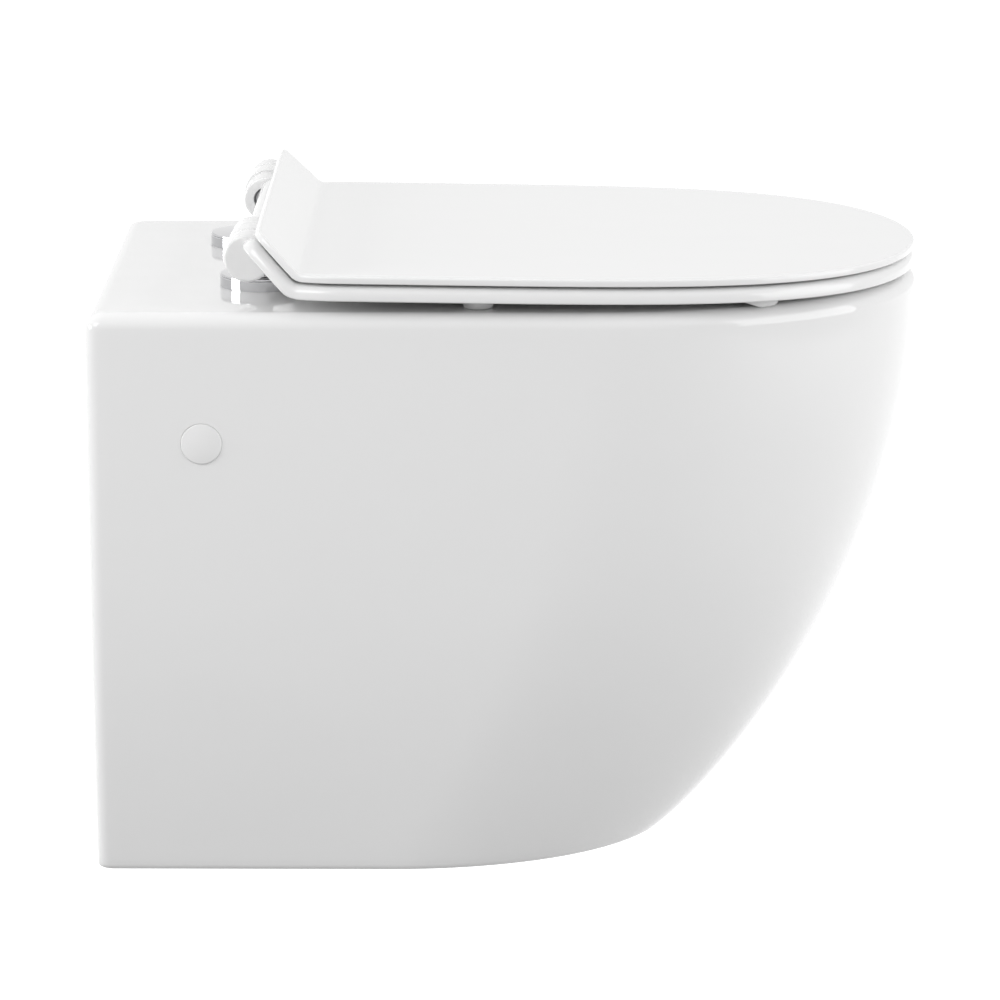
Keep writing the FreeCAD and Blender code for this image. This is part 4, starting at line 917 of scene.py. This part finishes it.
inset, depth = edge_profile(SEAT_THICK, SEAT_TOP_ROUND, SEAT_UNDER_ROUND)
loops = np.stack([rim_loop(seat_leaf, *at) for at in zip(inset, depth)])
grow, drop = edge_profile(SEAT_THICK, RING_ROUND, SEAT_UNDER_ROUND)
inner_loops = np.stack([seat_leaf.bent(*opening_loop(grown), down) for grown, down in zip(grow, drop)])
seat = surface("seat_loop", [*ring_face(inset[0], grow[0], 0), loops,
                             *ring_face(inset[-1], grow[-1], SEAT_THICK), inner_loops])
carve(seat, "DIFFERENCE", [hinge_bore(*NOTCH, side, KNUCKLE_RADIUS + NOTCH_GAP) for side in (-1, 1)])
knuckles = [knuckle(*SEAT_KNUCKLE, side, NO_BLOCK, NO_BLOCK, SEAT_KNUCKLE_EDGE) for side in (-1, 1)]
carve(seat, "UNION", knuckles)
bore = (SEAT_KNUCKLE[0] - BORE_PAST, SEAT_KNUCKLE[1] - KNUCKLE_END)
carve(seat, "DIFFERENCE", [hinge_bore(*bore, -1, BUSH_RADIUS), hinge_bore(*bore, 1, SHAFT_RADIUS)])
finish_piece(seat, "seat", "seat_resin", resin, "seat_ring")


# ---- the seat covers and the hinge bodies ----
# On each side a chromed cap covers the bolt's base plate, and a moulded body stands on the steel post over
# it. The body's barrel holds the damper, and its neck flows into the barrel.

COVER_RADIUS = 0.0263
COVER_HEIGHT = 0.0084
COVER_WALL = 0.0012
COVER_EDGE = 0.0009
COVER_LINE = 0.0004  # the depth and half the height of the line under the cover's edge
COVER_FOOT = 0.0007  # the cover is drawn in by this much against the deck
COVER_SHIFT = 0.00715  # the covers sit off the bolts, to the front on the left and to the rear on the right
POST = (0.0895, -0.1031)
POST_RADIUS = 0.004
POST_GAP = 0.00005
POST_BORE = (0.003, 0.02)  # above the deck
BARREL = (0.075, 0.104)
BARREL_RADIUS = 0.0136
BARREL_ROUND = 0.0012
BARREL_EDGE = 0.0003  # at the end against the lid's knuckle
NECK_RADIUS = 0.0068
NECK_FLARE = 0.0028  # how much wider the neck is at its foot
NECK_WAIST = 1.15  # the neck is narrowest at half its height divided by this value
NECK_GAP = 0.0004  # over the cover
NECK_SINK = 0.004  # the neck ends this much under the hinge axis
DAMPER_RADIUS = 0.0075
BORE_RUN_OUT = 0.001
CHROME_ROUGHNESS = 0.03
CHROME_DARK = (0.53, 0.53, 0.54, 1)
CHROME_LIGHT = (0.58, 0.58, 0.59, 1)
HINGE_WHITE = (0.85, 0.85, 0.85, 1)

chrome = bpy.data.materials.new("chrome_plate")
chrome.use_nodes = True
shader = chrome.node_tree.nodes["Principled BSDF"]
shader.inputs["Metallic"].default_value = 1
shader.inputs["Roughness"].default_value = CHROME_ROUGHNESS
tint = chrome.node_tree.nodes.new("ShaderNodeTexNoise")
tint.inputs["Scale"].default_value = 60
ramp = chrome.node_tree.nodes.new("ShaderNodeValToRGB")
ramp.color_ramp.elements[0].color = CHROME_DARK
ramp.color_ramp.elements[1].color = CHROME_LIGHT
place = chrome.node_tree.nodes.new("ShaderNodeTexCoord")
chrome.node_tree.links.new(place.outputs["Object"], tint.inputs["Vector"])
chrome.node_tree.links.new(tint.outputs["Fac"], ramp.inputs["Fac"])
chrome.node_tree.links.new(ramp.outputs["Color"], shader.inputs["Base Color"])
moulding = gloss("hinge_moulding", HINGE_WHITE, 0.14, ior=1.5, grain=0.03, grain_size=0.002)

turn = np.linspace(0, math.pi / 2, 8)
line_level = COVER_HEIGHT - COVER_EDGE - 2 * COVER_LINE
cover_radii = np.concatenate([
    [0, COVER_RADIUS - COVER_WALL, COVER_RADIUS - COVER_WALL, COVER_RADIUS - COVER_FOOT],
    [COVER_RADIUS - COVER_FOOT, COVER_RADIUS, COVER_RADIUS, COVER_RADIUS - COVER_LINE, COVER_RADIUS],
    COVER_RADIUS - COVER_EDGE * (1 - np.cos(turn)), [0],
])
cover_levels = RIM_LEVEL + np.concatenate([
    [COVER_HEIGHT - COVER_WALL, COVER_HEIGHT - COVER_WALL, 0, 0],
    [COVER_FOOT, COVER_FOOT, line_level - COVER_LINE, line_level, line_level + COVER_LINE],
    COVER_HEIGHT - COVER_EDGE * (1 - np.sin(turn)), [COVER_HEIGHT],
])
barrel_length = np.concatenate([[BARREL[0]], BARREL[0] + BARREL_ROUND * (1 - np.cos(turn)),
                                [BARREL[1] - BARREL_EDGE, BARREL[1], BARREL[1]]])
barrel_radii = np.concatenate([[0], BARREL_RADIUS - BARREL_ROUND * (1 - np.sin(turn)),
                               [BARREL_RADIUS, BARREL_RADIUS - BARREL_EDGE, 0]])
up = np.linspace(0, 1, 16)
neck_top = HINGE_Z - NECK_SINK
neck_start = RIM_LEVEL + COVER_HEIGHT + NECK_GAP
neck_level = np.concatenate([[neck_start], neck_start + (neck_top - neck_start) * up, [neck_top]])
neck_flare = NECK_FLARE * (1 - np.sin(math.pi * np.clip(up * NECK_WAIST, 0, 1))) ** 2
neck_radii = np.concatenate([[0], NECK_RADIUS + neck_flare, [0]])
for name, side in (("left", -1), ("right", 1)):
    centre = (side * SEAT_BOLT[0], SEAT_BOLT[1] + side * COVER_SHIFT, 0)
    cover = surface("base_cover_" + name, [turned("z", centre, cover_levels, cover_radii, 128)])
    at_post = (side * POST[0], POST[1], 0)
    post_hole = rod("z", at_post, RIM_LEVEL + POST_BORE[0], RIM_LEVEL + POST_BORE[1],
                    POST_RADIUS + POST_GAP, 40)
    carve(cover, "DIFFERENCE", [post_hole])
    finish_piece(cover, "pan", "chrome", chrome, "hinge_cover_" + name)

    barrel = surface("hinge_barrel_" + name, [
        turned("x", (0, HINGE_Y, HINGE_Z), barrel_length, barrel_radii, 96, side)])
    neck = turned("z", at_post, neck_level, neck_radii, 64)
    damper_bore = hinge_bore(BARREL[0] - BORE_RUN_OUT, BARREL[1] + BORE_RUN_OUT, side, DAMPER_RADIUS)
    carve(barrel, "UNION", [neck])
    carve(barrel, "DIFFERENCE", [damper_bore])
    carve(barrel, "DIFFERENCE", [post_hole])
    finish_piece(barrel, "pan", "hinge_plastic", moulding, "hinge_body_" + name)


# ---- the bumpers ----
# Soft whitish pads, pressed into the underside of the seat and of the lid. The seat's rest on the rim: the
# rear ones are round buttons, and the front ones are longer, lie along the rim and slope up to the rear.

REAR_PAD = (0.156, -0.2376)  # from the middle, and in front of the wall
FRONT_PAD = (0.1478, -0.4050)
REAR_PAD_RADIUS = 0.0093
FRONT_PAD_HALF = (0.0090, 0.0160)  # across and along the rim
FRONT_PAD_TURN = math.radians(26)
FRONT_PAD_SLOPE = -0.0012  # the slope starts this much behind the middle, so here just in front of it
ROUND_PAD_SLOPE = 0.999 * REAR_PAD_RADIUS  # at the rear end, so that a round pad has no slope
PAD_ROUND = 0.0022
PAD_SINK = 0.0006  # into the seat
PAD_GAP = 0.00005
RUBBER_WHITE = (0.70, 0.70, 0.70, 1)
SEAT_UNDER = CREASE_DROP + LID_THICK + LEAF_GAP + SEAT_THICK


def pad(place, half, bearing, slope_from, side):
    """A closed button: ovals that keep their size down from the seat and then draw in round a quarter circle.
    The foot rises from slope_from to the rear end in a straight slope."""
    top = HINGE_Z - SEAT_UNDER / math.cos(LEAF_TILT) + (place[1] - HINGE_Y) * math.tan(LEAF_TILT) + PAD_SINK
    foot = RIM_LEVEL + PAD_GAP
    turn = np.linspace(0, math.pi / 2, 8)
    level = np.concatenate([[top, top], foot + PAD_ROUND * (1 - np.sin(turn)), [foot]])[:, None]
    inset = np.concatenate([[half[0], 0], PAD_ROUND * (1 - np.cos(turn)), [half[0]]])[:, None]
    angle = np.linspace(0, 2 * math.pi, 73)[None, :]
    across = (half[0] - inset) * np.cos(angle)
    along = (half[1] - inset * half[1] / half[0]) * np.sin(angle)
    rise = (top - foot) * (along - slope_from) / (half[1] - slope_from)
    level = np.minimum(np.maximum(level, foot + rise), top)
    x = side * (place[0] + across * math.cos(bearing) + along * math.sin(bearing))
    y = place[1] - across * math.sin(bearing) + along * math.cos(bearing)
    return np.stack([x, y, level + 0 * x], axis=-1)


rubber = gloss("bumper_rubber", RUBBER_WHITE, 0.22, ior=1.45, grain=0.04, grain_size=0.002)
pads = []
for side in (-1, 1):
    pads.append(pad(REAR_PAD, (REAR_PAD_RADIUS, REAR_PAD_RADIUS), 0, ROUND_PAD_SLOPE, side))
    pads.append(pad(FRONT_PAD, FRONT_PAD_HALF, FRONT_PAD_TURN, FRONT_PAD_SLOPE, side))
finish_piece(surface("seat_pads", pads), "seat", "soft_bumper", rubber, "seat_bumpers")
nodes["lid_bumpers"].data.materials.clear()
nodes["lid_bumpers"].data.materials.append(rubber)


# ---- the hidden metal and plastic parts ----
# Turned stainless steel in the hinges, zinc plated brackets and screws behind the skirt, black rubber plugs
# under the deck, and nylon nuts and washers.

def metal(name, colour, roughness, streak):
    """Bare metal with fine turning marks: a noise stretched along one direction changes its roughness."""
    material = bpy.data.materials.new(name)
    material.use_nodes = True
    tree = material.node_tree
    shader = tree.nodes["Principled BSDF"]
    shader.inputs["Metallic"].default_value = 1
    place = tree.nodes.new("ShaderNodeTexCoord")
    stretch = tree.nodes.new("ShaderNodeMapping")
    stretch.inputs["Scale"].default_value = (streak, 40, 40)
    noise = tree.nodes.new("ShaderNodeTexNoise")
    noise.inputs["Scale"].default_value = 20
    tree.links.new(place.outputs["Object"], stretch.inputs["Vector"])
    tree.links.new(stretch.outputs["Vector"], noise.inputs["Vector"])
    ramp = tree.nodes.new("ShaderNodeValToRGB")
    ramp.color_ramp.elements[0].color = [channel * 0.85 for channel in colour[:3]] + [1]
    ramp.color_ramp.elements[1].color = colour
    tree.links.new(noise.outputs["Fac"], ramp.inputs["Fac"])
    tree.links.new(ramp.outputs["Color"], shader.inputs["Base Color"])
    rough = tree.nodes.new("ShaderNodeMapRange")
    rough.inputs["To Min"].default_value = roughness * 0.7
    rough.inputs["To Max"].default_value = roughness * 1.3
    tree.links.new(noise.outputs["Fac"], rough.inputs["Value"])
    tree.links.new(rough.outputs["Result"], shader.inputs["Roughness"])
    return material


DAMPER = (0.078, 0.102)
DAMPER_CASE = 0.00745
SHAFT_START = 0.094
SHAFT_GAP = 0.00005
damper_face = (
    # distance from the inner end, radius: the turning centre, the face with a groove, the bevel and the case
    (0.0016, 0), (0.0016, 0.0010), (0, 0.0013), (0, 0.0040), (0.0005, 0.0042), (0.0005, 0.0047), (0, 0.0049),
    (0, 0.0060), (0.0009, 0.0069), (0.0009, DAMPER_CASE),
)
distances = [DAMPER[0] + distance for distance, _ in damper_face]
distances += [DAMPER[1], DAMPER[1], SHAFT_START - SHAFT_GAP, SHAFT_START - SHAFT_GAP]
radii = [radius for _, radius in damper_face]
radii += [DAMPER_CASE, SHAFT_RADIUS + SHAFT_GAP, SHAFT_RADIUS + SHAFT_GAP, 0]
damper_metal = metal("damper_metal", (0.42, 0.42, 0.43, 1), 0.32, 60)
for name, side in (("left", -1), ("right", 1)):
    cylinder = turned("x", (0, HINGE_Y, HINGE_Z), distances, radii, 96, side)
    case = surface("damper_case_" + name, [cylinder], 25)
    finish_piece(case, "pan", "stainless_steel", damper_metal, "damper_" + name)

FINISHES = {
    "stainless_steel": metal("turned_steel", (0.55, 0.55, 0.56, 1), 0.25, 400),
    "zinc_steel": metal("zinc_plate", (0.60, 0.61, 0.63, 1), 0.38, 12),
    "rubber": gloss("black_rubber", (0.03, 0.03, 0.03, 1), 0.55, grain=0.2, grain_size=0.001),
    "nylon": gloss("natural_nylon", (0.78, 0.77, 0.73, 1), 0.45, grain=0.1, grain_size=0.001),
    "bush_plastic": gloss("white_acetal", (0.80, 0.80, 0.80, 1), 0.35, grain=0.05, grain_size=0.001),
}
for part in frame["record"]["subparts"]:
    if part["material_slot"] in FINISHES:
        node = nodes[part["node"]]
        node.data.materials.clear()
        node.data.materials.append(FINISHES[part["material_slot"]])
